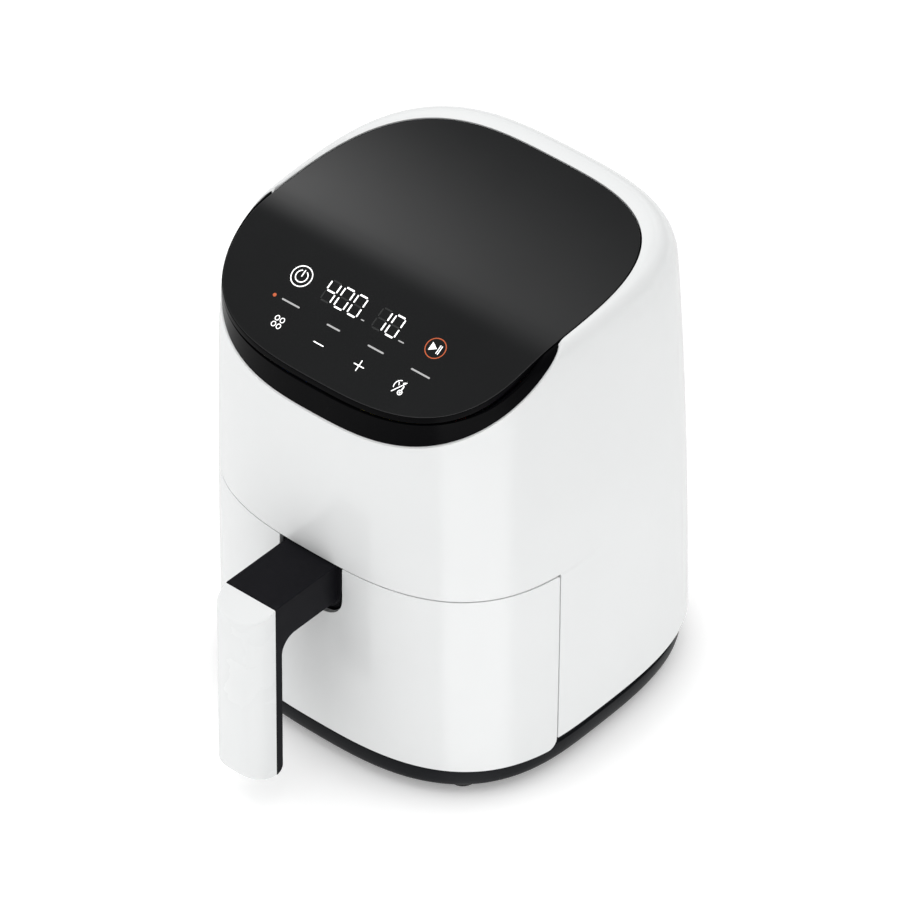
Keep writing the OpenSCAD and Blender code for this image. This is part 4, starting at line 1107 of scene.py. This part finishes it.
def strip_solid(x0, y0, line, width, closed=False):
    """A thin raised stroke along a line of points, with round ends where it isn't closed."""
    line = [np.array(p, float) for p in line]
    n = len(line)
    sections = []
    for i, p in enumerate(line):
        if closed:
            along = line[(i + 1) % n] - line[i - 1]
        else:
            along = line[min(i + 1, n - 1)] - line[max(i - 1, 0)]
        along = along / np.linalg.norm(along)
        sections.append((p, along, width / 2))
    if not closed:
        r = width / 2
        for where, sign in ((0, -1), (-1, 1)):
            p, along, _ = sections[where]
            caps = [(p + sign * along * r * math.sin(t), along, max(0.12 * r, r * math.cos(t)))
                    for t in (0.5, 1.0, 1.45)]
            sections = (caps[::-1] + sections) if where == 0 else (sections + caps)
    points = []
    for p, along, half in sections:
        side = np.array([-along[1], along[0]])
        for q in (p + side * half, p - side * half):
            points += [on_panel(x0, y0, q[0], q[1], lift) for lift in (MARK_LOW, MARK_HIGH)]
    faces = []
    m = len(sections)
    for i in range(m if closed else m - 1):
        a, b = 4 * i, 4 * ((i + 1) % m)
        faces += [(a + 1, a + 3, b + 3, b + 1), (a, b, b + 2, a + 2),
                  (a, a + 1, b + 1, b), (a + 2, b + 2, b + 3, a + 3)]
    if not closed:
        e = 4 * (m - 1)
        faces += [(0, 2, 3, 1), (e, e + 1, e + 3, e + 2)]
    return points, faces


def flat_solid(x0, y0, outline):
    return loft([[on_panel(x0, y0, x, s, lift) for x, s in outline]
                 for lift in (MARK_LOW, MARK_HIGH)])


def bar(x0, y0, length, width, angle=0.0):
    c, s = math.cos(math.radians(angle)), math.sin(math.radians(angle))
    half = length / 2 - width / 2
    line = [(-half * c, -half * s), (0, 0), (half * c, half * s)]
    return strip_solid(x0, y0, line, width)


def ring(x0, y0, r, width, start=0.0, end=360.0, rx=None):
    closed = end - start >= 360
    steps = 40 if closed else 28
    line = [((rx or r) * math.cos(math.radians(a)), r * math.sin(math.radians(a)))
            for a in np.linspace(start, end, steps + 1)]
    return strip_solid(x0, y0, line[:-1] if closed else line, width, closed)


SEGMENTS = {  # ends of each segment as shares of a digit's width and height
    "a": ((0, 1), (1, 1)), "b": ((1, 1), (1, 0.5)), "c": ((1, 0.5), (1, 0)), "d": ((0, 0), (1, 0)),
    "e": ((0, 0.5), (0, 0)), "f": ((0, 1), (0, 0.5)), "g": ((0, 0.5), (1, 0.5))}
DIGIT_W, DIGIT_H, DIGIT_GAP = 5.55, 11.2, 0.95
LEVEL_STROKE, UPRIGHT_STROKE = 0.86, 0.74


def digit(x0, y0, names):
    solids = []
    for name in names:
        (x1, s1), (x2, s2) = SEGMENTS[name]
        p = np.array([x1 * DIGIT_W, s1 * DIGIT_H])
        q = np.array([x2 * DIGIT_W, s2 * DIGIT_H])
        along = (q - p) / np.linalg.norm(q - p)
        width = LEVEL_STROKE if name in "adg" else UPRIGHT_STROKE
        p, q = p + along * DIGIT_GAP, q - along * DIGIT_GAP
        solids.append(strip_solid(x0, y0, [p, (p + q) / 2, q], width))
    return solids


def build_marks():
    white, soft, orange, dark = [], [], [], []
    bottom = -56.6
    for x, names in ((-25.05, "fgbc"), (-17.0, "abcdef"), (-9.0, "abcdef"), (5.95, "bc"),
                     (13.85, "abcdef")):
        white += digit(x, bottom, names)
        dark += digit(x, bottom, [n for n in "abcdefg" if n not in names])
    power = (-40.6, -51.6)
    white += [ring(*power, 5.45, LINE), ring(*power, 3.15, LINE, 118, 422),
              strip_solid(*power, [(0, 0), (0, 1.7), (0, 3.4)], LINE)]
    # Start and pause key in its ring
    orange += [ring(40.4, -51.5, 5.25, 0.50), flat_solid(-45.6, -64.7, arc(0, 0, 0.95, 0, 345, 23))]
    white += [flat_solid(40.4, -51.5, [(-2.9, 2.3), (-2.9, -2.3), (0.75, 0.0)]),
              bar(42.0, -51.4, 4.9, 0.42, 90), bar(43.0, -51.5, 4.9, 0.42, 90)]
    # Menu key: four rounded cells
    for x, y in ((-36.45, -73.1), (-33.4, -73.15), (-36.15, -76.2), (-33.1, -76.25)):
        white.append(ring(x, y, 1.22, THIN_LINE, rx=1.08))
    # Minus and plus
    white += [bar(-10.1, -74.55, 6.1, LINE), bar(14.25, -74.45, 6.1, 0.48),
              bar(14.25, -74.45, 6.1, 0.48, 90)]
    # Time and temperature key: a clock arc, a slash and a bulb
    white += [ring(38.6, -74.0, 3.3, 0.42, 105, 205), bar(37.1, -72.9, 1.8, THIN_LINE, 118),
              bar(39.3, -71.6, 1.5, THIN_LINE, 35), bar(38.3, -74.2, 8.6, 0.44, 56),
              ring(40.3, -76.2, 1.15, 0.42), flat_solid(40.3, -76.2, arc(0, 0, 0.5, 0, 345, 15)),
              strip_solid(40.3, -76.2, [(0.1, 1.3), (0.15, 2.3), (0.2, 3.4)], 0.6)]
    # Short plain bars where the mode names stand
    soft += [bar(-35.8, -64.6, 10.8, CAPTION), bar(-9.4, -65.1, 8.0, CAPTION),
             bar(15.8, -64.6, 9.6, CAPTION), bar(42.6, -64.5, 11.2, CAPTION),
             bar(0.3, -56.0, 1.9, 0.6), bar(23.8, -56.3, 3.4, 0.6)]
    for name, solids, material in (("marks_white", white, lit_white), ("marks_soft", soft, lit_soft),
                                   ("marks_orange", orange, lit_orange),
                                   ("marks_unlit", dark, unlit_grey)):
        add_piece(name, join(*solids), "housing", slot="clear_white", material=material)


# ---- everything ----

add_camera()
add_world()
add_floor()
add_card()
add_fill("right_fill", (0.36, 0.02, 0.03), (0.10, 0.02, 0.05), (0.5, 0.04), 0.10)
add_fill("front_fill", (-0.12, -0.55, 0.05), (0.0, -0.08, 0.09), (0.5, 0.08), 0.15)
build_shell()
build_drawer_front()
build_panel()
build_bezel()
build_tray()
build_feet()
build_grille()
build_gland()
build_handle_arm()
build_handle_cover()
build_basket()
build_marks()

for name, node in frame["nodes"].items():
    node.data.materials.clear()
    node.data.materials.append(paints[SLOTS[name]])

scene = bpy.context.scene
scene.view_settings.view_transform = "Standard"
scene.view_settings.look = "None"
